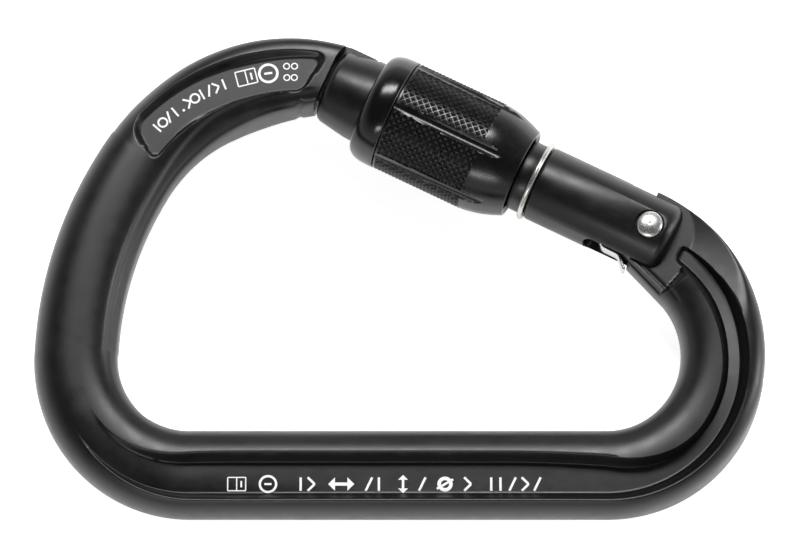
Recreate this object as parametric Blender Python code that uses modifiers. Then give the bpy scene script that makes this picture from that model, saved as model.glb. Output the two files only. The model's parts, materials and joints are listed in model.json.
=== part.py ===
"""Locking carabiner: a forged frame with a rod gate and a screw sleeve.

It lies flat: its mid-plane is Z = 0 and the origin is the centre of its bounding box.
Run with: blender --background --python part.py
"""
import math

import bmesh
import bpy
from mathutils import Matrix, Vector

MM = 0.001
GAP = 0.3 * MM                    # between pieces that touch

# ---- frame outline: arcs are (centre x, centre y, radius), angles in degrees ----
OUTER_TOP = (-15.4 * MM, 2.6 * MM, 31.4 * MM)
OUTER_SIDE = (6.5 * MM, -12.8 * MM, 58.3 * MM)
OUTER_TOE = (-29.5 * MM, -11.7 * MM, 22.3 * MM)
OUTER_HEEL = (29.15 * MM, -11.35 * MM, 22.65 * MM)
OUTER_BACK = (26.69 * MM, -10.93 * MM, 25.1 * MM)
INNER_TOP = (-7.14 * MM, -11.69 * MM, 35.83 * MM)
INNER_SHOULDER = (-12.82 * MM, -1.06 * MM, 23.8 * MM)
INNER_SIDE = (6.6 * MM, -12.85 * MM, 46.5 * MM)
INNER_TOE = (-29.8 * MM, -11.4 * MM, 10.15 * MM)
INNER_HEEL = (29.2 * MM, -10.9 * MM, 10.65 * MM)
TONGUE_CORNER = (32.3 * MM, 1.28 * MM)
STRETCH = 1.038                   # the arcs' middle line is lengthened this much along Y
LEAN = 0.267                      # recess and pocket walls lean towards -Y as they rise
BAR_HALF_HEIGHT = 5.2 * MM
BAR_SQUARENESS = 2.45             # exponent of the rounded bar section
NOSE_HALF_HEIGHT = 4.1 * MM
SECTION_POINTS = 22

# ---- I-beam recess and marking pocket, both faces ----
WEB_HALF = 2.5 * MM
RECESS_START = 3.36               # position along the frame, in spans (see frame_spans)
RECESS_END = 6.98
CUT_TOP = 6.6 * MM                # the recess walls run on up to here, clear of the bar
POCKET_FLOOR = 3.95 * MM
POCKET_RADII = (24.6 * MM, 29.3 * MM)
POCKET_ANGLES = (82.8, 140.4)

# ---- hinge and gate; the gate frame has X along the gate to the nose and Y inward ----
HINGE = (35.5 * MM, 6.58 * MM)
GATE_ANGLE = 153.82
TUBE_R = 5.5 * MM
TAIL_X = -3.6 * MM
SHOULDER_X = 17.05 * MM
RING_WIDTH = 0.8 * MM
RING_R = 5.95 * MM
NECK_R = 5.2 * MM
THREAD_ROOT_R = 4.65 * MM
THREAD_CREST_R = 5.4 * MM
THREAD_START = 22.4 * MM
THREAD_END = 37.2 * MM
THREAD_LEAD = 2.5 * MM
THREAD_PHASE = 0.06
HEAD_START = 40.8 * MM
HEAD_R = 6.1 * MM
HEAD_FRONT_R = 5.45 * MM
HEAD_X = 50.6 * MM
TONGUE_HALF = 2.1 * MM
TONGUE_R = 4.6 * MM
BORE_R = 2.6 * MM
BORE_END = 33.8 * MM
RIVET_R = 1.5 * MM
RIVET_HEAD_R = 2.0 * MM
RIVET_HEAD_Z = 5.0 * MM
RIVET_TOP = 5.75 * MM
SLOT_FRONT_X = 7.85 * MM          # the slot's end on the inner side of the rod
SLOT_CORNER_R = 1.3 * MM

# ---- keylock nose ----
NOSE_TIP_X = 45.9 * MM
NOSE_LIP_X = 48.95 * MM
NOSE_NECK_HALF = 1.5 * MM
NOSE_KEY_HALF = 2.5 * MM
NOSE_ROUND_R = 6.1 * MM
NOSE_ROUND_START = 40.9 * MM
NOSE_ROUND_END = 53.3 * MM
NOSE_DEPTH = 2.6 * MM             # the key reaches this far inward of the rod's axis
KEY_SLACK = 0.45 * MM

# ---- sleeve ----
SLEEVE_REAR = 20.15 * MM
KNURL_REAR = 26.3 * MM
COLLAR_REAR = 39.9 * MM
SLEEVE_FRONT = 44.15 * MM
SLEEVE_R = 8.2 * MM
REAR_RIM_R = 6.5 * MM
REAR_BORE_R = 5.7 * MM
REAR_CHAMFER = 0.4 * MM
SLEEVE_BORE_R = 6.45 * MM
INNER_CREST_R = 4.95 * MM
INNER_THREAD = (22.05 * MM, 28.65 * MM)
NECK_FIT_R = 7.35 * MM
NECK_FIT_END = 42.3 * MM
GROOVES = 6
GROOVE_PHASE = -7.0
GROOVE_R = 1.0 * MM
GROOVE_DEPTHS = (0.12 * MM, 0.5 * MM)   # at the collar, at the cone
GROOVE_LENGTH = 24.0 * MM

# ---- closing spring and its pusher ----
PUSHER_HALF = 1.2 * MM
PUSHER_THICK = 0.5 * MM
PUSHER_PIVOT = (0.6 * MM, 5.6 * MM)
PUSHER_FOOT_X = 11.0 * MM
PUSHER_FOOT_HALF = 1.75 * MM
SPRING_R = 1.85 * MM
SPRING_WIRE_R = 0.32 * MM
SPRING_TURNS = 8

ROUND_STEPS = 40
EPS = 0.00001

BLACK = (0.035, 0.036, 0.039)
GLOSS_BLACK = (0.022, 0.022, 0.024)
STEEL = (0.62, 0.62, 0.60)
SPRING_STEEL = (0.50, 0.50, 0.49)


# ---------------------------------------------------------------- scene helpers
def clear_scene():
    for obj in list(bpy.data.objects):
        bpy.data.objects.remove(obj, do_unlink=True)


def new_collection(name):
    collection = bpy.data.collections.new(name)
    bpy.context.scene.collection.children.link(collection)
    return collection


def material(name, colour, roughness, metallic):
    mat = bpy.data.materials.new(name)
    mat.use_nodes = True
    shader = mat.node_tree.nodes["Principled BSDF"]
    shader.inputs["Base Color"].default_value = (*colour, 1.0)
    shader.inputs["Roughness"].default_value = roughness
    shader.inputs["Metallic"].default_value = metallic
    return mat


def add_object(name, mesh, collection, matrix=None):
    obj = bpy.data.objects.new(name, mesh)
    collection.objects.link(obj)
    if matrix is not None:
        obj.matrix_world = matrix
    return obj


def finish_part(obj, mat, angle=math.radians(30)):
    obj.data.materials.clear()
    obj.data.materials.append(mat)
    obj.data.shade_smooth()
    obj.data.set_sharp_from_angle(angle=angle)


def hide_cutter(obj):
    obj.hide_render = True
    obj.display_type = "WIRE"
    return obj


def boolean(target, other, operation):
    modifier = target.modifiers.new(other.name, "BOOLEAN")
    modifier.operation = operation
    modifier.solver = "EXACT"
    modifier.object = other


# ---------------------------------------------------------------- shape helpers
def loft(name, rings, collection, matrix=None):
    """Solid through rings of equal point counts, capped at both ends."""
    mesh = bpy.data.meshes.new(name)
    bm = bmesh.new()
    rows = [[bm.verts.new(point) for point in ring] for ring in rings]
    count = len(rows[0])
    for row, following in zip(rows, rows[1:]):
        for k in range(count):
            after = (k + 1) % count
            bm.faces.new((row[k], row[after], following[after], following[k]))
    bm.faces.new(list(reversed(rows[0])))
    bm.faces.new(rows[-1])
    bmesh.ops.recalc_face_normals(bm, faces=bm.faces)
    bmesh.ops.triangulate(bm, faces=bm.faces)
    bm.to_mesh(mesh)
    bm.free()
    return add_object(name, mesh, collection, matrix)


def turned(name, profile, collection, matrix=None, steps=ROUND_STEPS, closed=False):
    """Screw modifier on a profile of (radius, height) points about local Z, listed top to bottom."""
    mesh = bpy.data.meshes.new(name)
    points = [(radius, 0.0, height) for radius, height in profile]
    edges = [(k, k + 1) for k in range(len(points) - 1)]
    if closed:
        edges.append((len(points) - 1, 0))
    mesh.from_pydata(points, edges, [])
    obj = add_object(name, mesh, collection, matrix)
    screw = obj.modifiers.new("turn", "SCREW")
    screw.axis = "Z"
    screw.steps = steps
    screw.render_steps = steps
    screw.use_merge_vertices = True
    screw.merge_threshold = EPS
    return obj


def flat_solid(name, outline, half_thickness, collection, matrix):
    """Closed outline in local XY, extruded both ways along local Z, as a mesh."""
    curve = bpy.data.curves.new(name, "CURVE")
    curve.dimensions = "2D"
    curve.fill_mode = "BOTH"
    curve.extrude = half_thickness
    spline = curve.splines.new("POLY")
    spline.points.add(len(outline) - 1)
    for point, (x, y) in zip(spline.points, outline):
        point.co = (x, y, 0.0, 1.0)
    spline.use_cyclic_u = True
    guide = add_object(name + "_curve", curve, collection, matrix)
    return curve_to_mesh(name, guide, collection)


def curve_to_mesh(name, guide, collection):
    bpy.context.view_layer.update()
    evaluated = guide.evaluated_get(bpy.context.evaluated_depsgraph_get())
    mesh = bpy.data.meshes.new_from_object(evaluated)
    bm = bmesh.new()
    bm.from_mesh(mesh)
    bmesh.ops.remove_doubles(bm, verts=bm.verts, dist=EPS / 10)
    bmesh.ops.recalc_face_normals(bm, faces=bm.faces)
    bm.to_mesh(mesh)
    bm.free()
    mesh.name = name
    obj = add_object(name, mesh, collection, guide.matrix_world.copy())
    bpy.data.objects.remove(guide, do_unlink=True)
    return obj


def box(name, low, high, collection, matrix):
    """Box between two corners given in the frame of matrix."""
    mesh = bpy.data.meshes.new(name)
    bm = bmesh.new()
    bmesh.ops.create_cube(bm, size=1.0)
    size = Vector(high) - Vector(low)
    middle = (Vector(high) + Vector(low)) / 2
    bmesh.ops.scale(bm, vec=size, verts=bm.verts)
    bmesh.ops.translate(bm, vec=middle, verts=bm.verts)
    bm.to_mesh(mesh)
    bm.free()
    return add_object(name, mesh, collection, matrix)


def cylinder(name, radius, length, collection, matrix, segments=ROUND_STEPS):
    """Cylinder about local Z from z = 0 to z = length."""
    mesh = bpy.data.meshes.new(name)
    bm = bmesh.new()
    bmesh.ops.create_cone(
        bm, cap_ends=True, segments=segments, radius1=radius, radius2=radius, depth=length
    )
    bmesh.ops.translate(bm, vec=(0.0, 0.0, length / 2), verts=bm.verts)
    bm.to_mesh(mesh)
    bm.free()
    return add_object(name, mesh, collection, matrix)


def arc_points(centre, radius, start, end, steps):
    """Points on an arc in the XY plane, ends included; angles in degrees."""
    points = []
    for k in range(steps + 1):
        angle = math.radians(start + (end - start) * k / steps)
        points.append((centre[0] + radius * math.cos(angle), centre[1] + radius * math.sin(angle)))
    return points


def smooth(t):
    t = min(max(t, 0.0), 1.0)
    return t * t * (3.0 - 2.0 * t)


# ---------------------------------------------------------------- gate frame
def gate_frame():
    """Hinge frame at rest: origin on the rivet, X along the gate to the nose, Y inward, Z up."""
    turn = Matrix.Rotation(math.radians(GATE_ANGLE), 4, "Z")
    return Matrix.Translation((HINGE[0], HINGE[1], 0.0)) @ turn


def rod_frame():
    """Frame with its Z along the rod's axis to the nose, from the rivet's cross plane."""
    return gate_frame() @ Matrix.Rotation(math.pi / 2, 4, "Y")


def rod_place(z):
    return rod_frame() @ Matrix.Translation((0.0, 0.0, z))


# ---------------------------------------------------------------- frame (the forged body)
def on_arc(arc, start, end, t):
    angle = math.radians(start + (end - start) * t)
    return Vector((arc[0] + arc[2] * math.cos(angle), arc[1] + arc[2] * math.sin(angle)))


def on_line(first, last, t):
    return Vector(first).lerp(Vector(last), t)


def end_of(arc, angle):
    return on_arc(arc, angle, angle, 0.0)


def frame_spans():
    """Eight spans from nose to hinge, each with its outer edge, inner edge and number of steps."""
    bottom_outer = (end_of(OUTER_TOE, 270.0), end_of(OUTER_HEEL, 270.0))
    bottom_inner = (end_of(INNER_TOE, 270.0), end_of(INNER_HEEL, 270.0))
    last_inner = (end_of(INNER_HEEL, 400.0), Vector(TONGUE_CORNER))
    return [
        ((OUTER_TOP, 76.5, 118.0), (INNER_TOP, 98.3, 118.1), 9),
        ((OUTER_TOP, 118.0, 144.9), (INNER_SHOULDER, 118.1, 148.7), 7),
        ((OUTER_SIDE, 144.9, 178.3), (INNER_SIDE, 148.7, 177.8), 9),
        ((OUTER_TOE, 178.3, 270.0), (INNER_TOE, 177.8, 270.0), 13),
        (bottom_outer, bottom_inner, 4),
        ((OUTER_HEEL, 270.0, 350.2), (INNER_HEEL, 270.0, 350.0), 12),
        ((OUTER_BACK, -9.8, 48.0), (INNER_HEEL, -10.0, 40.0), 9),
        ((OUTER_BACK, 48.0, 66.0), last_inner, 4),
    ]


def edge_at(edge, t):
    if len(edge) == 2:
        return on_line(edge[0], edge[1], t)
    return on_arc(edge[0], edge[1], edge[2], t)


def edges_at(position):
    """Outer and inner edge points at a position along the frame, counted in spans."""
    spans = frame_spans()
    index = min(int(position), len(spans) - 1)
    outer, inner, _steps = spans[index]
    t = position - index
    outer_point, inner_point = edge_at(outer, t), edge_at(inner, t)
    middle_y = (outer_point.y + inner_point.y) / 2
    lift = Vector((0.0, (STRETCH - 1.0) * middle_y))
    return outer_point + lift, inner_point + lift


def bar_half_height(position):
    """The bar thins towards the nose."""
    return NOSE_HALF_HEIGHT + (BAR_HALF_HEIGHT - NOSE_HALF_HEIGHT) * smooth(position / 0.7)


def bar_section(position):
    outer, inner = edges_at(position)
    middle = (outer + inner) / 2
    half = (outer - inner) / 2
    height = bar_half_height(position)
    power = 2.0 / BAR_SQUARENESS
    ring = []
    for k in range(SECTION_POINTS):
        angle = 2.0 * math.pi * k / SECTION_POINTS
        across = math.copysign(abs(math.cos(angle)) ** power, math.cos(angle))
        up = math.copysign(abs(math.sin(angle)) ** power, math.sin(angle))
        point = middle + half * across
        ring.append((point.x, point.y, height * up))
    return ring


def bar_positions():
    positions = []
    for index, (_outer, _inner, steps) in enumerate(frame_spans()):
        positions.extend(index + k / steps for k in range(steps))
    positions.append(float(len(frame_spans())))
    return positions


def recess_fractions(position):
    """Wall places across the bar (0 inner edge, 1 outer edge): top, floor, floor, top."""
    start = (0.40, 0.43, 0.68, 0.71)
    bottom = (0.19, 0.335, 0.695, 0.78)
    heel = (0.455, 0.555, 0.695, 0.80)
    end = (0.44, 0.50, 0.66, 0.74)
    opening = smooth((position - RECESS_START) / 0.8)
    bend = smooth((position - 4.75) / 0.9)
    closing = smooth((position - 6.3) / 0.7)
    places = []
    for first, second, third, last in zip(start, bottom, heel, end):
        place = first + (second - first) * opening
        place += (third - place) * bend
        place += (last - place) * closing
        places.append(place)
    return places


def recess_floor(position):
    """The floor ramps down from the bar's surface at the start and up again at the end."""
    down = smooth((position - RECESS_START) / 0.75)
    up = smooth((position - 6.78) / (RECESS_END - 6.78))
    depth = BAR_HALF_HEIGHT - WEB_HALF
    return WEB_HALF + depth * (1.0 - down) + 0.35 * depth * up


def recess_ring(position, side):
    outer, inner = edges_at(position)
    top_in, floor_in, floor_out, top_out = recess_fractions(position)
    floor = recess_floor(position)
    rise = (CUT_TOP - floor) / (BAR_HALF_HEIGHT - floor + EPS)
    high_in = floor_in + (top_in - floor_in) * min(rise, 2.0)
    high_out = floor_out + (top_out - floor_out) * min(rise, 2.0)
    ring = []
    for place, z in ((high_in, CUT_TOP), (floor_in, floor), (floor_out, floor), (high_out, CUT_TOP)):
        point = inner.lerp(outer, place)
        ring.append((point.x, point.y - LEAN * z, side * z))
    return ring


def recess_cutter(side, collection):
    steps = 44
    length = RECESS_END - RECESS_START
    rings = [recess_ring(RECESS_START + length * k / steps, side) for k in range(steps + 1)]
    name = "recess_top" if side > 0 else "recess_bottom"
    return hide_cutter(loft(name, rings, collection))


def pocket_cutter(side, collection):
    """Marking pocket on the top arc, with sloped walls."""
    steps = 14
    rings = []
    low, high = POCKET_RADII
    draft = 0.5 * MM
    for k in range(steps + 1):
        t = k / steps
        angle = math.radians(POCKET_ANGLES[0] + (POCKET_ANGLES[1] - POCKET_ANGLES[0]) * t)
        lift = (STRETCH - 1.0) * (OUTER_TOP[1] + low * math.sin(angle))
        ring = []
        for radius, z in (
            (low - draft, CUT_TOP),
            (low, POCKET_FLOOR),
            (high, POCKET_FLOOR),
            (high + draft, CUT_TOP),
        ):
            x = OUTER_TOP[0] + radius * math.cos(angle)
            y = OUTER_TOP[1] + radius * math.sin(angle) + lift
            ring.append((x, y - LEAN * z, side * z))
        rings.append(ring)
    name = "pocket_top" if side > 0 else "pocket_bottom"
    return hide_cutter(loft(name, rings, collection))


def hinge_relief(side, collection):
    """Clears the frame above the tongue, round the end of the gate."""
    outline = arc_points((0.0, 0.0), 6.4 * MM, 243.0, 170.0, 10)
    outline += [(-6.87 * MM, 4.0 * MM), (-6.02 * MM, 7.0 * MM), (-5.5 * MM, 14.0 * MM)]
    outline += [(14.0 * MM, 14.0 * MM), (14.0 * MM, -14.0 * MM), (-2.4 * MM, -14.0 * MM)]
    half = 3.0 * MM
    place = gate_frame() @ Matrix.Translation((0.0, 0.0, side * (TONGUE_HALF + half)))
    name = "relief_top" if side > 0 else "relief_bottom"
    return hide_cutter(flat_solid(name, outline, half, collection, place))


def nose_round(collection):
    """Turns the end of the nose down to fit inside the sleeve."""
    far = 14.0 * MM
    profile = [
        (far, NOSE_ROUND_END),
        (far, NOSE_ROUND_START),
        (NOSE_ROUND_R, NOSE_ROUND_START),
        (NOSE_ROUND_R, NOSE_ROUND_END - 0.7 * MM),
        (NOSE_ROUND_R + 0.7 * MM, NOSE_ROUND_END),
    ]
    return hide_cutter(turned("nose_round", profile, collection, rod_frame(), closed=True))


def key_outline(slack):
    """T-shaped key in the plane of gate X and Z, grown by slack for the cavity."""
    tip = NOSE_TIP_X - slack
    lip = NOSE_LIP_X + slack
    root = NOSE_ROUND_END - 0.3 * MM
    wide = NOSE_KEY_HALF + slack * 0.75
    thin = NOSE_NECK_HALF + slack * 0.75
    return [(root, thin), (lip, thin), (lip, wide), (tip, wide), (tip, -wide), (lip, -wide), (lip, -thin), (root, -thin)]


def key_solid(name, slack, low_y, high_y, collection):
    """The key, or its cavity, between two places along gate Y."""
    middle = (low_y + high_y) / 2
    place = gate_frame() @ Matrix.Translation((0.0, middle, 0.0)) @ Matrix.Rotation(math.pi / 2, 4, "X")
    return flat_solid(name, key_outline(slack), (high_y - low_y) / 2, collection, place)


def nose_key(cutters):
    """The key is trimmed to the round of the nose."""
    inner = NOSE_DEPTH
    key = key_solid("nose_key", 0.0, -9.0 * MM, inner, cutters)
    trim = cylinder("nose_key_round", NOSE_ROUND_R, 14.0 * MM, cutters, rod_place(43.0 * MM))
    boolean(key, hide_cutter(trim), "INTERSECT")
    lift = edges_at(0.0)[0].y - end_of(OUTER_TOP, 76.5).y
    disc_place = Matrix.Translation((OUTER_TOP[0], OUTER_TOP[1] + lift, -8.0 * MM))
    disc = cylinder("nose_key_edge", OUTER_TOP[2], 16.0 * MM, cutters, disc_place, 180)
    boolean(key, hide_cutter(disc), "INTERSECT")
    return hide_cutter(key)


def make_body(parts, cutters):
    body = loft("body", [bar_section(p) for p in bar_positions()], parts)
    eye_place = gate_frame() @ Matrix.Translation((0.0, 0.0, -2 * TONGUE_HALF))
    eye = cylinder("tongue_eye", TONGUE_R, 4 * TONGUE_HALF, cutters, eye_place)
    boolean(body, hide_cutter(eye), "UNION")
    for side in (1, -1):
        boolean(body, recess_cutter(side, cutters), "DIFFERENCE")
        boolean(body, pocket_cutter(side, cutters), "DIFFERENCE")
        boolean(body, hinge_relief(side, cutters), "DIFFERENCE")
    boolean(body, nose_round(cutters), "DIFFERENCE")
    boolean(body, nose_key(cutters), "UNION")
    hole_place = gate_frame() @ Matrix.Translation((0.0, 0.0, -8.0 * MM))
    hole = cylinder("tongue_hole", RIVET_R + GAP, 16.0 * MM, cutters, hole_place, 32)
    boolean(body, hide_cutter(hole), "DIFFERENCE")
    finish_part(body, material("anodised_black", BLACK, 0.42, 0.65))
    return body


# ---------------------------------------------------------------- gate
def gate_profile():
    """(radius, place along the rod) from the head to the tail, ends on the axis."""
    groove_rear = SHOULDER_X + 0.05 * MM
    groove_front = groove_rear + RING_WIDTH + 2 * GAP
    groove_r = NECK_R - 0.4 * MM
    profile = [(0.0, HEAD_X)]
    corner = 0.75 * MM
    profile += [
        (HEAD_FRONT_R - corner + corner * math.sin(a), HEAD_X - corner + corner * math.cos(a))
        for a in (math.radians(d) for d in (0, 30, 60, 90))
    ]
    profile += [
        (HEAD_R, SLEEVE_FRONT + 0.2 * MM),
        (HEAD_R, HEAD_START),
        (TUBE_R, HEAD_START - 0.6 * MM),
        (TUBE_R, THREAD_END + 0.9 * MM),
        (THREAD_ROOT_R, THREAD_END + 0.4 * MM),
        (THREAD_ROOT_R, 20.35 * MM),
        (NECK_R, 20.05 * MM),
        (NECK_R, groove_front),
        (groove_r, groove_front),
        (groove_r, groove_rear),
        (TUBE_R - 0.35 * MM, groove_rear),
        (TUBE_R, groove_rear - 0.7 * MM),
    ]
    tail = 1.4 * MM
    profile += [
        (TUBE_R - tail + tail * math.cos(a), TAIL_X + tail - tail * math.sin(a))
        for a in (math.radians(d) for d in (0, 30, 60, 90))
    ]
    profile.append((0.0, TAIL_X))
    return profile


def helix_ridge(name, base_r, crest_r, start, end, phase, collection):
    """Right-hand ridge of trapezoid section about the rod's axis, in the gate frame."""
    base_half = 0.65 * MM
    crest_half = 0.35 * MM
    per_turn = ROUND_STEPS // 2
    turns = (end - start) / THREAD_LEAD
    steps = int(round(turns * per_turn))
    rings = []
    for k in range(steps + 1):
        angle = 2.0 * math.pi * (k / per_turn) + phase
        x = start + THREAD_LEAD * k / per_turn
        ring = []
        for radius, offset in (
            (base_r, -base_half),
            (crest_r, -crest_half),
            (crest_r, crest_half),
            (base_r, base_half),
        ):
            y = radius * math.cos(angle)
            ring.append((x + offset, y, radius * math.sin(angle)))
        rings.append(ring)
    return loft(name, rings, collection, gate_frame())


def side_slot(collection):
    """Lengthens the tongue slot on the inner side of the rod, with rounded corners."""
    half = TONGUE_HALF + GAP - 0.03 * MM
    corner = SLOT_CORNER_R
    front = SLOT_FRONT_X
    outline = [(-9.0 * MM, -half)]
    outline += arc_points((front - corner, corner - half), corner, 270.0, 360.0, 6)
    outline += arc_points((front - corner, half - corner), corner, 0.0, 90.0, 6)
    outline.append((-9.0 * MM, half))
    reach = 6.0 * MM
    turn = Matrix.Rotation(math.pi / 2, 4, "X")
    place = gate_frame() @ Matrix.Translation((0.0, 0.6 * MM + reach, 0.0)) @ turn
    return flat_solid("side_slot", outline, reach, collection, place)


def make_gate(parts, cutters, pivot):
    gate = turned("gate", gate_profile(), parts, rod_frame())
    gate.parent = pivot
    gate.matrix_parent_inverse = gate_frame().inverted()
    thread = helix_ridge(
        "gate_thread", THREAD_ROOT_R - 0.25 * MM, THREAD_CREST_R,
        THREAD_START + 0.8 * MM, THREAD_END - 0.7 * MM, THREAD_PHASE, cutters,
    )
    boolean(gate, hide_cutter(thread), "UNION")
    frame = gate_frame()
    tongue_slot = box(
        "tongue_slot", (-9.0 * MM, -9.0 * MM, -TONGUE_HALF - GAP),
        (TONGUE_R + 0.5 * MM, 12.0 * MM, TONGUE_HALF + GAP), cutters, frame,
    )
    pusher_room = box(
        "pusher_room", (3.0 * MM, 0.0, -PUSHER_HALF - GAP),
        (12.0 * MM, 4.7 * MM, PUSHER_HALF + GAP), cutters, frame,
    )
    bore = cylinder("spring_bore", BORE_R, BORE_END - 3.0 * MM, cutters, rod_place(3.0 * MM), 32)
    slot = side_slot(cutters)
    place = frame @ Matrix.Translation((0.0, 0.0, -8.0 * MM))
    hole = cylinder("rivet_hole", RIVET_R + GAP, 16.0 * MM, cutters, place, 32)
    cavity_inner = NOSE_DEPTH + 0.5 * MM
    cavity = key_solid("key_cavity", KEY_SLACK, -9.0 * MM, cavity_inner, cutters)
    for cutter in (tongue_slot, slot, pusher_room, bore, hole, cavity):
        boolean(gate, hide_cutter(cutter), "DIFFERENCE")
    for side in (1, -1):
        floor = RIVET_HEAD_Z - GAP
        low = floor if side > 0 else -floor - 4.0 * MM
        place = frame @ Matrix.Translation((0.0, 0.0, low))
        name = "rivet_seat_top" if side > 0 else "rivet_seat_bottom"
        seat = cylinder(name, RIVET_HEAD_R + GAP, 4.0 * MM, cutters, place, 32)
        boolean(gate, hide_cutter(seat), "DIFFERENCE")
    finish_part(gate, material("satin_black", BLACK, 0.34, 0.7))
    return gate


def make_rivet(parts, pivot):
    """Headed pin through the cheeks and the tongue, domed at both ends."""
    rise = RIVET_TOP - RIVET_HEAD_Z - 0.15 * MM
    half = [(0.0, RIVET_TOP)]
    half += [
        (RIVET_HEAD_R * math.sin(a), RIVET_TOP - rise + rise * math.cos(a))
        for a in (math.radians(d) for d in (25, 50, 72, 90))
    ]
    half += [(RIVET_HEAD_R, RIVET_HEAD_Z), (RIVET_R, RIVET_HEAD_Z)]
    profile = half + [(radius, -z) for radius, z in reversed(half)]
    rivet = turned("hinge_rivet", profile, parts, gate_frame(), 32)
    rivet.parent = pivot
    rivet.matrix_parent_inverse = gate_frame().inverted()
    finish_part(rivet, material("polished_steel", STEEL, 0.16, 1.0))
    return rivet


def make_stop_ring(parts, pivot, cutters):
    """Split ring in the groove behind the sleeve."""
    rear = SHOULDER_X + 0.05 * MM + GAP
    front = rear + RING_WIDTH
    inner = NECK_R - 0.1 * MM
    edge = 0.2 * MM
    profile = [
        (RING_R - edge, front), (RING_R, front - edge), (RING_R, rear + edge),
        (RING_R - edge, rear), (inner, rear), (inner, front),
    ]
    ring = turned("stop_ring", profile, parts, rod_frame(), closed=True)
    ring.parent = pivot
    ring.matrix_parent_inverse = gate_frame().inverted()
    low = (rear - 1.0 * MM, -1.0 * MM, -9.0 * MM)
    high = (front + 1.0 * MM, 1.0 * MM, -2.0 * MM)
    split = box("ring_split", low, high, cutters, gate_frame())
    boolean(ring, hide_cutter(split), "DIFFERENCE")
    finish_part(ring, material("polished_ring", STEEL, 0.14, 1.0))
    return ring


# ---------------------------------------------------------------- locking sleeve
def sleeve_profile():
    """Closed (radius, place) loop of the knurled barrel: down the outside, back up the bore."""
    profile = [(NECK_FIT_R, NECK_FIT_END), (NECK_FIT_R, COLLAR_REAR)]
    profile += [(SLEEVE_R - 0.25 * MM, COLLAR_REAR), (SLEEVE_R, COLLAR_REAR - 0.25 * MM)]
    steps = 6
    for k in range(steps + 1):
        t = k / steps
        radius = SLEEVE_R - (SLEEVE_R - REAR_RIM_R) * t ** 1.7
        profile.append((radius, KNURL_REAR - (KNURL_REAR - SLEEVE_REAR) * t))
    profile += [
        (REAR_BORE_R + REAR_CHAMFER, SLEEVE_REAR),
        (REAR_BORE_R, SLEEVE_REAR + REAR_CHAMFER),
        (REAR_BORE_R, INNER_THREAD[1] + 0.2 * MM),
        (SLEEVE_BORE_R, INNER_THREAD[1] + 0.5 * MM),
        (SLEEVE_BORE_R, NECK_FIT_END),
    ]
    return profile


def make_sleeve(parts, cutters, pivot):
    sleeve = turned("locking_sleeve", sleeve_profile(), parts, rod_frame(), closed=True)
    sleeve.parent = pivot
    sleeve.matrix_parent_inverse = pivot.matrix_world.inverted()
    thread = helix_ridge(
        "sleeve_thread", REAR_BORE_R + 0.25 * MM, INNER_CREST_R,
        INNER_THREAD[0] + 0.45 * MM, INNER_THREAD[1] - 0.75 * MM, thread_phase(), cutters,
    )
    boolean(sleeve, hide_cutter(thread), "UNION")
    for k in range(GROOVES):
        angle = 360.0 * k / GROOVES + GROOVE_PHASE
        place = rod_place(COLLAR_REAR) @ Matrix.Rotation(math.radians(angle), 4, "Z")
        shallow, deep = GROOVE_DEPTHS
        reach = SLEEVE_R + GROOVE_R - shallow
        slope = math.atan2(deep - shallow, COLLAR_REAR - KNURL_REAR)
        place = place @ Matrix.Translation((-reach, 0.0, 0.0)) @ Matrix.Rotation(-slope, 4, "Y")
        place = place @ Matrix.Translation((0.0, 0.0, -GROOVE_LENGTH + 1.0 * MM))
        groove = cylinder(f"groove_{k + 1}", GROOVE_R, GROOVE_LENGTH, cutters, place, 20)
        boolean(sleeve, hide_cutter(groove), "DIFFERENCE")
    finish_part(sleeve, material("gloss_black", GLOSS_BLACK, 0.26, 0.6))
    return sleeve


def thread_phase():
    """Puts the sleeve's ridge half a lead from the gate's ridge."""
    gate_start = THREAD_START + 0.8 * MM
    sleeve_start = INNER_THREAD[0] + 0.45 * MM
    lead_in = (sleeve_start - gate_start) / THREAD_LEAD
    return 2.0 * math.pi * (lead_in + 0.5) + THREAD_PHASE


def make_collar(parts, pivot):
    """Smooth front rim, pressed over the neck of the barrel."""
    rear = COLLAR_REAR + 0.25 * MM
    inside = NECK_FIT_END + GAP
    nose = 3.2 * MM
    profile = [(SLEEVE_BORE_R, SLEEVE_FRONT)]
    for k in range(7):
        angle = math.radians(15.0 * k)
        radius = SLEEVE_BORE_R + 0.1 * MM + (SLEEVE_R - SLEEVE_BORE_R - 0.1 * MM) * math.sin(angle)
        profile.append((radius, SLEEVE_FRONT - nose + nose * math.cos(angle)))
    profile += [
        (SLEEVE_R + 0.03 * MM, rear + 0.2 * MM),
        (SLEEVE_R - 0.17 * MM, rear),
        (NECK_FIT_R + GAP, rear),
        (NECK_FIT_R + GAP, inside),
        (SLEEVE_BORE_R, inside),
    ]
    collar = turned("sleeve_collar", profile, parts, rod_frame(), closed=True)
    collar.parent = pivot
    collar.matrix_parent_inverse = pivot.matrix_world.inverted()
    finish_part(collar, material("gloss_black_collar", GLOSS_BLACK, 0.24, 0.6))
    return collar


# ---------------------------------------------------------------- spring and pusher
def pusher_path():
    """Middle line of the bent strip in the gate frame, from the frame's corner to the spring."""
    return [
        (0.8 * MM, 6.6 * MM), (1.35 * MM, 6.05 * MM), (2.0 * MM, 5.25 * MM), (2.7 * MM, 4.8 * MM),
        (5.0 * MM, 4.75 * MM), (7.8 * MM, 2.0 * MM), (PUSHER_FOOT_X, 0.0),
    ]


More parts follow.
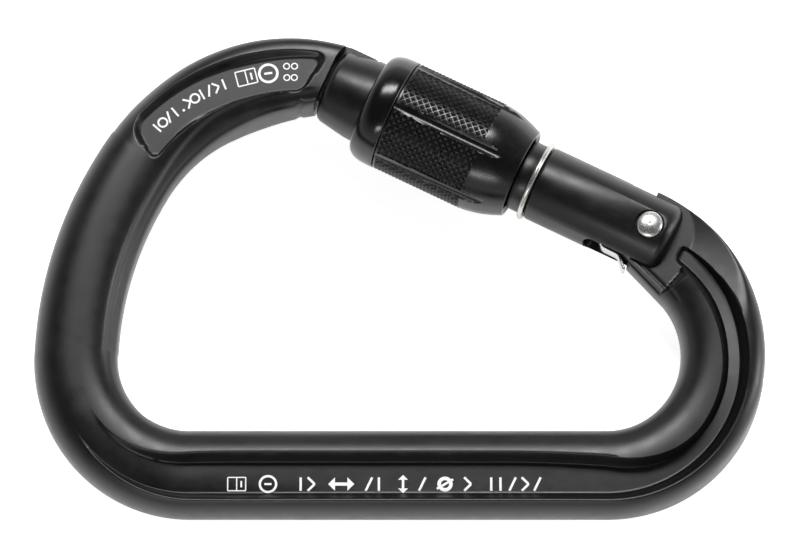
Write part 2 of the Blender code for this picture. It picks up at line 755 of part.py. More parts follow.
def offset_line(points, distance):
    """Open polyline moved sideways, with mitred corners."""
    moved = []
    for k, point in enumerate(points):
        here = Vector(point)
        before = Vector(points[max(k - 1, 0)])
        after = Vector(points[min(k + 1, len(points) - 1)])
        first = (here - before).normalized() if k > 0 else (after - here).normalized()
        second = (after - here).normalized() if k < len(points) - 1 else first
        bisector = (first + second).normalized()
        normal = Vector((-bisector.y, bisector.x))
        stretch = 1.0 / max(normal.dot(Vector((-first.y, first.x))), 0.5)
        moved.append(here + normal * distance * stretch)
    return moved


def make_pusher(parts, pivot):
    path = pusher_path()
    half = PUSHER_THICK / 2
    upper = offset_line(path, half)
    lower = offset_line(path, -half)
    foot_front = PUSHER_FOOT_X + PUSHER_THICK
    foot = [
        (PUSHER_FOOT_X, PUSHER_FOOT_HALF),
        (foot_front, PUSHER_FOOT_HALF),
        (foot_front, -PUSHER_FOOT_HALF),
        (PUSHER_FOOT_X, -PUSHER_FOOT_HALF),
    ]
    outline = [tuple(p) for p in upper[:-1]] + foot + [tuple(p) for p in reversed(lower[:-1])]
    pusher = flat_solid("spring_pusher", outline, PUSHER_HALF, parts, gate_frame())
    pusher.parent = pivot
    pusher.matrix_parent_inverse = pivot.matrix_world.inverted()
    finish_part(pusher, material("spring_strip", SPRING_STEEL, 0.22, 1.0))
    return pusher


def make_spring(parts, pivot):
    """Round-wire compression spring in the gate's bore."""
    start = PUSHER_FOOT_X + PUSHER_THICK + GAP + SPRING_WIRE_R
    end = BORE_END - GAP - SPRING_WIRE_R
    per_turn = 16
    count = SPRING_TURNS * per_turn + 1
    curve = bpy.data.curves.new("gate_spring", "CURVE")
    curve.dimensions = "3D"
    curve.bevel_depth = SPRING_WIRE_R
    curve.bevel_resolution = 2
    curve.use_fill_caps = True
    spline = curve.splines.new("POLY")
    spline.points.add(count - 1)
    for k, point in enumerate(spline.points):
        angle = 2.0 * math.pi * k / per_turn
        x = start + (end - start) * k / (count - 1)
        y = SPRING_R * math.cos(angle)
        point.co = (x, y, SPRING_R * math.sin(angle), 1.0)
    guide = add_object("gate_spring_curve", curve, parts, gate_frame())
    spring = curve_to_mesh("gate_spring", guide, parts)
    spring.parent = pivot
    spring.matrix_parent_inverse = pivot.matrix_world.inverted()
    finish_part(spring, material("spring_wire", SPRING_STEEL, 0.3, 1.0), math.radians(60))
    return spring


# ---------------------------------------------------------------- assembly
def empty(name, matrix, collection, parent=None):
    obj = bpy.data.objects.new(name, None)
    obj.empty_display_size = 0.005
    collection.objects.link(obj)
    obj.matrix_world = matrix
    if parent is not None:
        obj.parent = parent
        obj.matrix_parent_inverse = parent.matrix_world.inverted()
    bpy.context.view_layer.update()
    return obj


def main():
    clear_scene()
    parts = new_collection("locking_carabiner")
    cutters = new_collection("cutters")
    gate_pivot = empty("gate_pivot", gate_frame(), parts)
    sleeve_axis = empty("sleeve_axis", rod_frame(), parts, gate_pivot)
    pusher_place = gate_frame() @ Matrix.Translation((*PUSHER_PIVOT, 0.0))
    pusher_pivot = empty("pusher_pivot", pusher_place, parts)
    make_body(parts, cutters)
    make_gate(parts, cutters, gate_pivot)
    make_rivet(parts, gate_pivot)
    make_stop_ring(parts, gate_pivot, cutters)
    make_sleeve(parts, cutters, sleeve_axis)
    make_collar(parts, sleeve_axis)
    make_pusher(parts, pusher_pivot)
    make_spring(parts, gate_pivot)


main()
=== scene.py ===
"""Locking carabiner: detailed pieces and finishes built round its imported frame.

It is laid out as an add-on and is run as a script. The carabiner lies flat, its mid-plane is Z = 0,
the spine is towards -Y and the gate towards +Y. Sizes are in metres.
"""
import json
import math

import bmesh
import bpy
from mathutils import Matrix, Vector


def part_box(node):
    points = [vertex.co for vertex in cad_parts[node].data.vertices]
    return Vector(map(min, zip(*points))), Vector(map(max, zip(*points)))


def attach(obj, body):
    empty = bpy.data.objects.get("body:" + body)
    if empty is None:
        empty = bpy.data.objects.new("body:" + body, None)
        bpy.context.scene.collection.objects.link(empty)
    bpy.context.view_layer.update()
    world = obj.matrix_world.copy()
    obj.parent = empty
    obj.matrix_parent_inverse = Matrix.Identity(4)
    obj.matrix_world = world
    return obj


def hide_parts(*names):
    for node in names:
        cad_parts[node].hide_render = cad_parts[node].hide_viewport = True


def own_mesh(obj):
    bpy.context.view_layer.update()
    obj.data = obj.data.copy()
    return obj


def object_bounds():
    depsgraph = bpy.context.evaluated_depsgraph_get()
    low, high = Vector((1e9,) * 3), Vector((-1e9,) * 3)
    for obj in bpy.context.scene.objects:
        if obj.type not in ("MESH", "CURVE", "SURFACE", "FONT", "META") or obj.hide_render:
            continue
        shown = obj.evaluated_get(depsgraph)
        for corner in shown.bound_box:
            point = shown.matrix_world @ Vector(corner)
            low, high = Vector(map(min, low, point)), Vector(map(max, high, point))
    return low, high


bl_info = {
    "name": "Locking carabiner",
    "version": (1, 0, 0),
    "blender": (4, 5, 0),
    "location": "View3D > Sidebar > Carabiner",
    "description": "Models a forged locking carabiner round its packed frame",
    "category": "Object",
}

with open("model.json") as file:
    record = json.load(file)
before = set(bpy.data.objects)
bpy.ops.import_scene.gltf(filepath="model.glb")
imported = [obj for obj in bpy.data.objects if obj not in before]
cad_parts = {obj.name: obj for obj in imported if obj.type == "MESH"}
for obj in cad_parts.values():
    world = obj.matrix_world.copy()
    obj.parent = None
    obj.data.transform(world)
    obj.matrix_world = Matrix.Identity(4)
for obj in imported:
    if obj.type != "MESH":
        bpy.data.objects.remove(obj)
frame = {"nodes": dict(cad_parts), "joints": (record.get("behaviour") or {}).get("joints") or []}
CAD_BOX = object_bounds()
MM = 0.001


# ---------------------------------------------------------------- places from the frame
def joint(name):
    return next(j for j in frame["joints"] if j["name"] == name)


HINGE = Vector(joint("gate_hinge")["pos_m"])
ROD_DIRECTION = Vector(joint("sleeve_travel")["axis"]).normalized()
INWARD = Vector((-ROD_DIRECTION.y, ROD_DIRECTION.x, 0.0))
UP = Vector((0.0, 0.0, 1.0))


def gate_place():
    """Axes of the gate at the rivet: X along the rod to the nose, Y inward, Z up."""
    turn = Matrix((ROD_DIRECTION, INWARD, UP)).transposed().to_4x4()
    return Matrix.Translation(HINGE) @ turn


def rod_place():
    """Axes with Z along the rod to the nose, X down and Y inward, from the rivet."""
    return gate_place() @ Matrix.Rotation(math.pi / 2, 4, "Y")


def rod_span(node):
    """Lowest and highest place of a CAD node along the rod, and its largest radius."""
    to_rod = rod_place().inverted()
    points = [to_rod @ v.co for v in frame["nodes"][node].data.vertices]
    radius = max(math.hypot(p.x, p.y) for p in points)
    return min(p.z for p in points), max(p.z for p in points), radius


GATE_REAR, GATE_FRONT, GATE_R = rod_span("gate")
BARREL_REAR, BARREL_END, BARREL_R = rod_span("locking_sleeve")
COLLAR_REAR, COLLAR_FRONT, _ = rod_span("sleeve_collar")
RING_REAR, RING_FRONT, RING_R = rod_span("stop_ring")
RIVET_LOW, RIVET_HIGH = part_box("hinge_rivet")
RIVET_R = (RIVET_HIGH.x - RIVET_LOW.x) / 2
RIVET_HOLE_R = 1.8 * MM
BORE_R = 2.6 * MM                 # the rod's bore, which holds the closing spring
BORE_END = 33.8 * MM
THROUGH = 8.0 * MM                # cutters reach this far to each side of the mid-plane


# ---------------------------------------------------------------- forged bar: outline
# arcs are (centre x, centre y, radius)
OUTER_TOP = (-15.4 * MM, 2.6 * MM, 31.4 * MM)
OUTER_SIDE = (6.5 * MM, -12.8 * MM, 58.3 * MM)
OUTER_TOE = (-29.5 * MM, -11.7 * MM, 22.3 * MM)
OUTER_HEEL = (29.15 * MM, -11.35 * MM, 22.65 * MM)
OUTER_BACK = (26.69 * MM, -10.93 * MM, 25.1 * MM)
INNER_TOP = (-7.14 * MM, -11.69 * MM, 35.83 * MM)
INNER_SHOULDER = (-12.82 * MM, -1.06 * MM, 23.8 * MM)
INNER_SIDE = (6.6 * MM, -12.85 * MM, 46.5 * MM)
INNER_TOE = (-29.8 * MM, -11.4 * MM, 10.15 * MM)
INNER_HEEL = (29.2 * MM, -10.9 * MM, 10.65 * MM)
TONGUE_CORNER = (32.3 * MM, 1.28 * MM)
STRETCH = 1.038                   # the arcs' middle line is lengthened this much along Y
LEAN = 0.267                      # recess and pocket walls lean towards -Y as they rise
BAR_HALF = 5.2 * MM
NOSE_HALF = 4.1 * MM
TONGUE_HALF = 2.1 * MM
TONGUE_R = 4.6 * MM
SPAN_STEPS = (92, 60, 52, 92, 40, 62, 90, 36)
ACROSS = (28, 14, 18, 12, 22)     # points across a face: rope side, wall, floor, wall, outer rib
POCKET_PLACES = (0.24, 0.33, 0.72, 0.84)   # where the pocket's walls lie across the face
NOSE_R = 6.05 * MM                # the nose is turned down to this, so that the sleeve passes over it
TURNED_END = 53.3 * MM            # the turned-down part of the nose ends here along the rod


def clamp(value, low=0.0, high=1.0):
    return min(max(value, low), high)


def smooth(value):
    t = clamp(value)
    return t * t * (3.0 - 2.0 * t)


def mix(first, second, share):
    return first + (second - first) * share


def on_arc(arc, degrees):
    angle = math.radians(degrees)
    return Vector((arc[0] + arc[2] * math.cos(angle), arc[1] + arc[2] * math.sin(angle)))


def bar_spans():
    """Outer and inner edge of each span, from the nose to the hinge: (arc, from, to) or two points."""
    bottom = (
        (on_arc(OUTER_TOE, 270.0), on_arc(OUTER_HEEL, 270.0)),
        (on_arc(INNER_TOE, 270.0), on_arc(INNER_HEEL, 270.0)),
    )
    last = ((OUTER_BACK, 48.0, 66.0), (on_arc(INNER_HEEL, 40.0), Vector(TONGUE_CORNER)))
    return [
        ((OUTER_TOP, 76.5, 118.0), (INNER_TOP, 98.3, 118.1)),
        ((OUTER_TOP, 118.0, 144.9), (INNER_SHOULDER, 118.1, 148.7)),
        ((OUTER_SIDE, 144.9, 178.3), (INNER_SIDE, 148.7, 177.8)),
        ((OUTER_TOE, 178.3, 270.0), (INNER_TOE, 177.8, 270.0)),
        bottom,
        ((OUTER_HEEL, 270.0, 350.2), (INNER_HEEL, 270.0, 350.0)),
        ((OUTER_BACK, -9.8, 48.0), (INNER_HEEL, -10.0, 40.0)),
        last,
    ]


SPANS = bar_spans()


def edge_point(edge, t):
    if len(edge) == 2:
        return edge[0].lerp(edge[1], t)
    return on_arc(edge[0], mix(edge[1], edge[2], t))


def bar_edges(position):
    """Outer and inner edge of the bar at a position counted in spans from the nose."""
    index = min(int(position), len(SPANS) - 1)
    t = position - index
    outer = edge_point(SPANS[index][0], t)
    inner = edge_point(SPANS[index][1], t)
    lift = Vector((0.0, (STRETCH - 1.0) * (outer.y + inner.y) / 2))
    return outer + lift, inner + lift


# ---------------------------------------------------------------- forged bar: relief of its faces
RECESS_START = 3.33
RECESS_END = 7.24
ROUND_START = 7.0                 # the recess narrows to a round end from here
WEB_HALF = 2.5 * MM
HEEL_WEB_HALF = 1.35 * MM
POCKET_FLOOR = 3.5 * MM
POCKET_ANGLES = (84.2, 140.6)
POCKET_RADII = (24.5 * MM, 29.3 * MM)
POCKET_CORNER = 1.1 * MM
POCKET_WALL = 0.65 * MM
LAND_START = 6.4 * MM             # the land round the gate's tail starts here behind the rivet
LAND_CORNER = 3.98 * MM           # the land's edge turns here, this far inward of the rod
LAND_LEAN = 0.12                  # the edge leans back this much on its way inward
RAMP_SLOPE = 0.27                 # the rib's ramp rises slowly from the tongue
SHOULDER_SLOPE = 2.4              # the rope side's shoulder rises steeply
HINGE_BLEND = 0.6 * MM            # ramp and shoulder run into the face over this height
TO_GATE = gate_place().inverted()
TO_ROD = rod_place().inverted()


def recess_places(position):
    """Walls across the bar (0 inner edge, 1 outer edge): top, floor, floor, top."""
    start = (0.40, 0.44, 0.68, 0.71)
    spine = (0.20, 0.345, 0.695, 0.775)
    heel = (0.470, 0.560, 0.690, 0.800)
    end = (0.44, 0.51, 0.66, 0.74)
    opening = smooth((position - RECESS_START) / 0.8)
    bend = smooth((position - 4.75) / 0.9)
    closing = smooth((position - 6.5) / 0.7)
    low, foot, shelf, high = (
        mix(mix(mix(a, b, opening), c, bend), d, closing)
        for a, b, c, d in zip(start, spine, heel, end)
    )
    along = clamp((position - ROUND_START) / (RECESS_END - ROUND_START))
    keep = math.sqrt(1.0 - 0.97 * along ** 2)
    middle, half = (foot + shelf) / 2, (shelf - foot) / 2 * keep
    return [middle - half - (foot - low), middle - half, middle + half, middle + half + high - shelf]


def section_power(position, t):
    """The bar's section is squarer at the nose and at the heel's outer rib."""
    power = mix(5.0, 2.45, smooth((position - 0.1) / 1.5))
    if t > 0.5:
        return mix(power, 4.4, smooth((position - 4.9) / 1.2))
    return power


def bar_height(position):
    return mix(NOSE_HALF, BAR_HALF, smooth(position / 0.7))


def crown(position, t):
    """Height of the bar's face with no relief, t from 0 at the inner edge to 1 at the outer."""
    power = section_power(position, t)
    return bar_height(position) * max(1.0 - abs(2.0 * t - 1.0) ** power, 0.0) ** (1.0 / power)


def wall_share(distance, width, crisp):
    """0 at the foot of a wall to 1 at its top, rounded at the top unless it is crisp."""
    t = clamp(distance / width)
    return mix(smooth(t), t ** 1.4, crisp)


def recess_height(position, t, height, tilt):
    """Cuts the I-beam recess; tilt is how far a wall moves across per metre of height."""
    if not RECESS_START < position < RECESS_END:
        return height
    top_in, floor_in, floor_out, top_out = recess_places(position)
    down = smooth((position - RECESS_START) / 0.85)
    flat = smooth((position - RECESS_START - 0.35) / 0.8)
    web = mix(WEB_HALF, HEEL_WEB_HALF, smooth((position - 5.6) / 1.2))
    up = smooth((position - 7.13) / (RECESS_END - 7.13))
    floor = mix(height - (BAR_HALF - WEB_HALF) * down, web, flat)
    floor = mix(floor, height, up)
    foot_in = floor_in - tilt * floor
    foot_out = floor_out - tilt * floor
    head_in = top_in - tilt * BAR_HALF
    head_out = top_out - tilt * BAR_HALF * 0.9
    crisp = smooth((position - 4.9) / 0.7) * 0.8
    if t <= foot_in:
        share = wall_share(foot_in - t, foot_in - head_in, crisp)
    elif t >= foot_out:
        share = wall_share(t - foot_out, head_out - foot_out, 0.25)
    else:
        share = 0.0
    return mix(floor, height, share)


def pocket_height(point, height, lift):
    """Cuts the marking pocket, a rounded box bent round the centre of the top arc."""
    if height < POCKET_FLOOR:
        return height
    y = point.y - lift + LEAN * height
    dx, dy = point.x - OUTER_TOP[0], y - OUTER_TOP[1]
    radius = math.hypot(dx, dy)
    low, high = POCKET_RADII
    middle = (low + high) / 2
    angle = math.degrees(math.atan2(dy, dx)) + 0.9 * (radius - middle) / MM
    first, last = POCKET_ANGLES
    along = math.radians(abs(angle - (first + last) / 2)) * middle
    reach_along = along - math.radians((last - first) / 2) * middle + POCKET_CORNER
    reach_across = abs(radius - middle) - (high - low) / 2 + POCKET_CORNER
    outside = math.hypot(max(reach_along, 0.0), max(reach_across, 0.0))
    distance = outside + min(max(reach_along, reach_across), 0.0) - POCKET_CORNER
    wall = POCKET_WALL * (1.6 if radius > middle else 1.0)
    return mix(POCKET_FLOOR, height, smooth(distance / wall))


def shelf_height(position, t, height):
    """The inner side of the top arc steps down to a shelf before it rounds over."""
    strength = smooth(position / 0.45) * smooth((3.6 - position) / 1.0)
    place = mix(0.27, 0.17, smooth((position - 0.9) / 1.2))
    step = smooth((place - t) / 0.06)
    return height - 0.55 * MM * strength * step * smooth(t / 0.06)


def hinge_height(position, t, point, height):
    """The bar drops to the tongue: a short shoulder on the rope side, a long ramp on the rib."""
    if position < 6.0:
        return height
    local = TO_GATE @ Vector((point.x, point.y, 0.0))
    if local.y > LAND_CORNER:
        behind = -local.x - LAND_START - LAND_LEAN * LAND_CORNER + 0.28 * (local.y - LAND_CORNER)
    else:
        behind = -local.x - LAND_START - LAND_LEAN * local.y
    away = max(math.hypot(local.x, local.y) - LAND_START, 0.0)
    ramp = TONGUE_HALF + RAMP_SLOPE * away
    step = TONGUE_HALF + SHOULDER_SLOPE * max(behind + 0.25 * MM, 0.0)
    cap = mix(step, ramp, smooth((t - 0.52) / 0.08))
    gap = clamp(0.5 + 0.5 * (cap - height) / HINGE_BLEND)
    blended = mix(cap, height, gap) - HINGE_BLEND * gap * (1.0 - gap)
    crease = math.exp(-((t - 0.13) / 0.018) ** 2) * smooth((position - 6.75) / 0.1)
    return blended - 0.16 * MM * crease


def bar_point(position, t):
    """A point on the front face of the bar."""
    outer, inner = bar_edges(position)
    across = outer - inner
    width = across.length
    tilt = LEAN * across.y / width ** 2
    flat = inner + across * t
    height = crown(position, t)
    lift = (STRETCH - 1.0) * (outer.y + inner.y) / (1.0 + STRETCH)
    height = shelf_height(position, t, height)
    if position < 2.2:
        height = pocket_height(flat, height, lift)
    height = recess_height(position, t, height, tilt)
    height = hinge_height(position, t, flat, height)
    return Vector((flat.x, flat.y, height))


def face_shares(position):
    """Places across a face, closer together at its walls and at its rounded edges."""
    outer, inner = bar_edges(position)
    across = outer - inner
    tilt = LEAN * across.y / across.length ** 2
    heights = (BAR_HALF, WEB_HALF, WEB_HALF, BAR_HALF * 0.9)
    walls = [place - tilt * height for place, height in zip(recess_places(position), heights)]
    pocket = smooth((2.9 - position) / 0.7)
    marks = [0.0, *(mix(wall, place, pocket) for wall, place in zip(walls, POCKET_PLACES)), 1.0]
    shares = [0.0]
    for k, steps in enumerate(ACROSS):
        for i in range(1, steps + 1):
            part = i / steps
            if k == 0:
                part = part ** 1.8
            elif k == len(ACROSS) - 1:
                part = 1.0 - (1.0 - part) ** 1.8
            shares.append(mix(marks[k], marks[k + 1], part))
    return shares


def bar_positions():
    positions = [i + k / n for i, n in enumerate(SPAN_STEPS) for k in range(n)]
    return positions + [float(len(SPAN_STEPS))]


def keep_in_sleeve(point):
    """Rounds the nose down so that the sleeve slides over it."""
    local = TO_ROD @ point
    radius = math.hypot(local.x, local.y)
    if local.z > TURNED_END or radius <= NOSE_R:
        return point
    release = smooth((local.z - TURNED_END + 1.0 * MM) / (1.0 * MM))
    share = mix(NOSE_R / radius, 1.0, release)
    return rod_place() @ Vector((local.x * share, local.y * share, local.z))


def reach_head(point, position):
    """Carries the outer side of the nose forward, round the gate's rounded head."""
    outward = -(TO_GATE @ point).y
    reach = 0.45 * MM * smooth((outward - 3.0 * MM) / (2.4 * MM)) * smooth(1.0 - position / 0.3)
    return point - ROD_DIRECTION * reach


# ---------------------------------------------------------------- object helpers
def deselect():
    if bpy.context.mode != "OBJECT":
        bpy.ops.object.mode_set(mode="OBJECT")
    bpy.ops.object.select_all(action="DESELECT")


def activate(obj):
    deselect()
    obj.select_set(True)
    bpy.context.view_layer.objects.active = obj


def apply_place(obj, matrix):
    """Puts the object's place in its mesh."""
    obj.matrix_world = matrix
    activate(obj)
    bpy.ops.object.transform_apply(location=True, rotation=True, scale=True)


def tidy_mesh(obj, distance=0.000002):
    activate(obj)
    bpy.ops.object.mode_set(mode="EDIT")
    bpy.ops.mesh.select_all(action="SELECT")
    bpy.ops.mesh.remove_doubles(threshold=distance)
    bpy.ops.mesh.normals_make_consistent(inside=False)
    bpy.ops.object.mode_set(mode="OBJECT")


def shade(obj, degrees):
    activate(obj)
    bpy.ops.object.shade_smooth_by_angle(angle=math.radians(degrees))


def finish_piece(obj, finish, body, node, degrees=35.0):
    """Gives a piece its finish, hands it to its body and lets it stand for a CAD node."""
    shade(obj, degrees)
    obj.data.materials.clear()
    obj.data.materials.append(finish)
    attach(obj, body)
    if node:
        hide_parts(node)


def join_rings(bm, rings):
    """Faces between rings of points that follow each other."""
    for ring, following in zip(rings, rings[1:]):
        for k in range(len(ring)):
            after = (k + 1) % len(ring)
            bm.faces.new((ring[k], ring[after], following[after], following[k]))


def object_from(name, bm):
    """Turns built faces outward and puts them in an object of their own."""
    bmesh.ops.recalc_face_normals(bm, faces=bm.faces)
    mesh = bpy.data.meshes.new(name)
    bm.to_mesh(mesh)
    bm.free()
    obj = bpy.data.objects.new(name, mesh)
    bpy.context.scene.collection.objects.link(obj)
    return obj


def trace(name, points):
    """A line of edges through points in X and Z, extruded point by point."""
    deselect()
    bpy.ops.mesh.primitive_plane_add(size=1.0, location=(0.0, 0.0, 0.0))
    obj = bpy.context.active_object
    obj.name = name
    bpy.ops.object.mode_set(mode="EDIT")
    bpy.ops.mesh.select_all(action="SELECT")
    bpy.ops.mesh.merge(type="CENTER")
    here = Vector((points[0][0], 0.0, points[0][1]))
    bpy.ops.transform.translate(value=here)
    for x, z in points[1:]:
        there = Vector((x, 0.0, z))
        bpy.ops.mesh.extrude_vertices_move(TRANSFORM_OT_translate={"value": there - here})
        here = there
    bpy.ops.object.mode_set(mode="OBJECT")
    return obj


def turned(name, profile, steps):
    """Spins a closed line of (radius, place) points about Z into a solid."""
    obj = trace(name, profile)
    activate(obj)
    bpy.ops.object.mode_set(mode="EDIT")
    bpy.ops.mesh.select_all(action="SELECT")
    bpy.ops.mesh.spin(steps=steps, angle=2.0 * math.pi, center=(0.0, 0.0, 0.0), axis=(0.0, 0.0, 1.0))
    bpy.ops.object.mode_set(mode="OBJECT")
    tidy_mesh(obj)
    return obj


def cut(obj, tool, operation="DIFFERENCE"):
    """Applies a Boolean with a tool, and throws the tool away."""
    activate(obj)
    modifier = obj.modifiers.new("cut", "BOOLEAN")
    modifier.operation = operation
    modifier.solver = "EXACT"
    modifier.object = tool
    bpy.ops.object.modifier_apply(modifier=modifier.name)
    bpy.data.objects.remove(tool, do_unlink=True)


def soften_edges(obj, width, segments, degrees=35.0):
    activate(obj)
    modifier = obj.modifiers.new("soft_edges", "BEVEL")
    modifier.width = width
    modifier.segments = segments
    modifier.limit_method = "ANGLE"
    modifier.angle_limit = math.radians(degrees)
    modifier.use_clamp_overlap = True
    bpy.ops.object.modifier_apply(modifier=modifier.name)


def block(name, low, high, place):
    """A box between two corners in the axes of place."""
    deselect()
    bpy.ops.mesh.primitive_cube_add(size=1.0)
    obj = bpy.context.active_object
    obj.name = name
    size = Vector(high) - Vector(low)
    middle = (Vector(high) + Vector(low)) / 2
    scale = Matrix.Diagonal((*size, 1.0))
    apply_place(obj, place @ Matrix.Translation(middle) @ scale)
    return obj


def round_bar(name, radius, low, high, place, vertices=64):
    """A cylinder about Z of place between two heights."""
    deselect()
    bpy.ops.mesh.primitive_cylinder_add(vertices=vertices, radius=radius, depth=high - low)
    obj = bpy.context.active_object
    obj.name = name
    apply_place(obj, place @ Matrix.Translation((0.0, 0.0, (low + high) / 2)))
    return obj


def rivet_hole():
    """Cutter for the rivet's hole."""
    return round_bar("rivet_hole", RIVET_HOLE_R, -THROUGH, THROUGH, gate_place(), 48)


def arc_line(centre_r, centre_z, radius, first, last, steps):
    """Points (radius, place) on an arc of a profile; 0 degrees points outward, 90 to the nose."""
    points = []
    for k in range(steps + 1):
        angle = math.radians(mix(first, last, k / steps))
        points.append((centre_r + radius * math.cos(angle), centre_z + radius * math.sin(angle)))
    return points


# ---------------------------------------------------------------- finishes
def toned(colour, share):
    """The colour made darker or lighter."""
    return tuple(c * share for c in colour)


class Nodes:
    """Adds and links shader nodes."""

    def __init__(self, name):
        self.material = bpy.data.materials.new(name)
        self.material.use_nodes = True
        self.tree = self.material.node_tree
        self.shader = self.tree.nodes["Principled BSDF"]

    def add(self, kind, **values):
        node = self.tree.nodes.new(kind)
        for key, value in values.items():
            setattr(node, key, value)
        return node

    def link(self, source, target):
        self.tree.links.new(source, target)

    def texture(self, kind, scale, **inputs):
        """A texture on Object coordinates; scale is in cells per metre."""
        place = self.add("ShaderNodeTexCoord")
        node = self.add(kind)
        self.link(place.outputs["Object"], node.inputs["Vector"])
        node.inputs["Scale"].default_value = scale
        for key, value in inputs.items():
            node.inputs[key].default_value = value
        return node

    def remap(self, source, low, high, first, last):
        node = self.add("ShaderNodeMapRange")
        self.link(source, node.inputs["Value"])
        node.inputs["From Min"].default_value = low
        node.inputs["From Max"].default_value = high
        node.inputs["To Min"].default_value = first
        node.inputs["To Max"].default_value = last
        return node.outputs["Result"]

    def blend_colour(self, share, first, second):
        node = self.add("ShaderNodeMix", data_type="RGBA")
        self.link(share, node.inputs["Factor"])
        node.inputs["A"].default_value = (*first, 1.0)
        node.inputs["B"].default_value = (*second, 1.0)
        return node.outputs["Result"]

    def math(self, operation, first, second):
        node = self.add("ShaderNodeMath", operation=operation)
        for socket, value in zip(node.inputs, (first, second)):
            if isinstance(value, (int, float)):
                socket.default_value = value
            else:
                self.link(value, socket)
        return node.outputs["Value"]

    def bump(self, height, distance, strength):
        node = self.add("ShaderNodeBump")
        self.link(height, node.inputs["Height"])
        node.inputs["Distance"].default_value = distance
        node.inputs["Strength"].default_value = strength
        self.link(node.outputs["Normal"], self.shader.inputs["Normal"])


def anodised(name, colour, roughness, grain, scratches, worn=0.06):
    """Black anodised aluminium: fine blasted grain, faint blotches and light worn specks."""
    n = Nodes(name)
    fine = n.texture("ShaderNodeTexNoise", 9000.0, Detail=4.0, Roughness=0.65)
    blotch = n.texture("ShaderNodeTexNoise", 420.0, Detail=5.0, Roughness=0.6)
    specks = n.texture("ShaderNodeTexVoronoi", 1500.0)
    speck = n.remap(specks.outputs["Distance"], 0.03, 0.09, 1.0, 0.0)
    rare = n.remap(blotch.outputs["Fac"], 0.56, 0.66, 0.0, 1.0)
    speck = n.math("MULTIPLY", speck, rare)
    shade_share = n.remap(blotch.outputs["Fac"], 0.3, 0.7, 0.0, 1.0)
    base = n.blend_colour(shade_share, toned(colour, 0.80), toned(colour, 1.25))
    wear = n.math("MULTIPLY", speck, scratches)
    mixed = n.add("ShaderNodeMix", data_type="RGBA")
    n.link(wear, mixed.inputs["Factor"])
    n.link(base, mixed.inputs["A"])
    mixed.inputs["B"].default_value = (*(worn + c for c in colour), 1.0)
    n.link(mixed.outputs["Result"], n.shader.inputs["Base Color"])
    rough = n.remap(fine.outputs["Fac"], 0.3, 0.7, roughness - 0.05, roughness + 0.06)
    rough = n.math("ADD", rough, n.remap(blotch.outputs["Fac"], 0.3, 0.7, -0.04, 0.05))
    n.link(rough, n.shader.inputs["Roughness"])
    n.bump(fine.outputs["Fac"], 0.02 * MM, grain)
    n.shader.inputs["Specular IOR Level"].default_value = 0.5
    return n.material


def polished(name, colour, roughness, streak):
    """Bright steel with fine streaks and faint stains."""
    n = Nodes(name)
    fine = n.texture("ShaderNodeTexNoise", 5200.0, Detail=3.0, Roughness=0.6)
    stain = n.texture("ShaderNodeTexNoise", 700.0, Detail=4.0, Roughness=0.55)
    stained = n.remap(stain.outputs["Fac"], 0.35, 0.65, 0.0, 1.0)
    base = n.blend_colour(stained, toned(colour, 0.82), colour)
    n.link(base, n.shader.inputs["Base Color"])
    rough = n.remap(fine.outputs["Fac"], 0.3, 0.7, roughness * 0.7, roughness * 1.5)
    n.link(rough, n.shader.inputs["Roughness"])
    n.bump(fine.outputs["Fac"], 0.01 * MM, streak)
    n.shader.inputs["Metallic"].default_value = 1.0
    return n.material


def marking_paint(colour):
    """Laser marking: chalky white with a broken, slightly darker grain, brightened by a faint painted glow.
    """
    n = Nodes("glowing_laser_marking")
    grain = n.texture("ShaderNodeTexNoise", 7000.0, Detail=3.0, Roughness=0.7)
    share = n.remap(grain.outputs["Fac"], 0.35, 0.6, 0.0, 1.0)
    base = n.blend_colour(share, toned(colour, 0.8), colour)
    n.link(base, n.shader.inputs["Base Color"])
    n.bump(grain.outputs["Fac"], 0.01 * MM, 0.4)
    n.shader.inputs["Roughness"].default_value = 0.75
    # painted glow: the marks give off a little light of their own, so they stay bright even where shade
    # falls
    n.link(base, n.shader.inputs["Emission Color"])
    n.shader.inputs["Emission Strength"].default_value = 0.25
    return n.material


# ---------------------------------------------------------------- settings
class CarabinerLook(bpy.types.PropertyGroup):
    """Sizes and colours that a user would change."""

    black: bpy.props.FloatVectorProperty(
        name="Bar colour", description="Anodised colour of the forged bar", subtype="COLOR",
        default=(0.0042, 0.0043, 0.0046), min=0.0, max=1.0,
    )
    rod_black: bpy.props.FloatVectorProperty(
        name="Gate colour", description="Anodised colour of the gate rod", subtype="COLOR",
        default=(0.0030, 0.0030, 0.0032), min=0.0, max=1.0,
    )
    sleeve_black: bpy.props.FloatVectorProperty(
        name="Sleeve colour", description="Anodised colour of the sleeve", subtype="COLOR",
        default=(0.0022, 0.0022, 0.0023), min=0.0, max=1.0,
    )
    steel: bpy.props.FloatVectorProperty(
        name="Steel colour", description="Colour of the rivet, ring and strip", subtype="COLOR",
        default=(0.74, 0.73, 0.70), min=0.0, max=1.0,
    )
    marking: bpy.props.FloatVectorProperty(
        name="Marking colour", description="Colour of the laser markings", subtype="COLOR",
        default=(0.93, 0.93, 0.93), min=0.0, max=1.0,
    )
    knurl_count: bpy.props.IntProperty(
        name="Knurl count", description="Diamonds round the barrel", default=46, min=12, max=96,
    )
    knurl_depth: bpy.props.FloatProperty(
        name="Knurl depth", description="Height of a diamond", default=0.30 * MM,
        min=0.0, max=1.0 * MM, unit="LENGTH", precision=5,
    )
    groove_count: bpy.props.IntProperty(
        name="Grooves", description="Lengthwise grooves in the barrel", default=6, min=0, max=12,
    )
    mark_height: bpy.props.FloatProperty(
        name="Marking height", description="Height of the marks on the spine", default=2.3 * MM,
        min=0.5 * MM, max=4.0 * MM, unit="LENGTH", precision=5,
    )
    floor_white: bpy.props.FloatProperty(
        name="Floor brightness", description="Own light of the pale floor", default=0.80,
        min=0.0, max=2.0,
    )


def look():
    return bpy.context.scene.carabiner_look


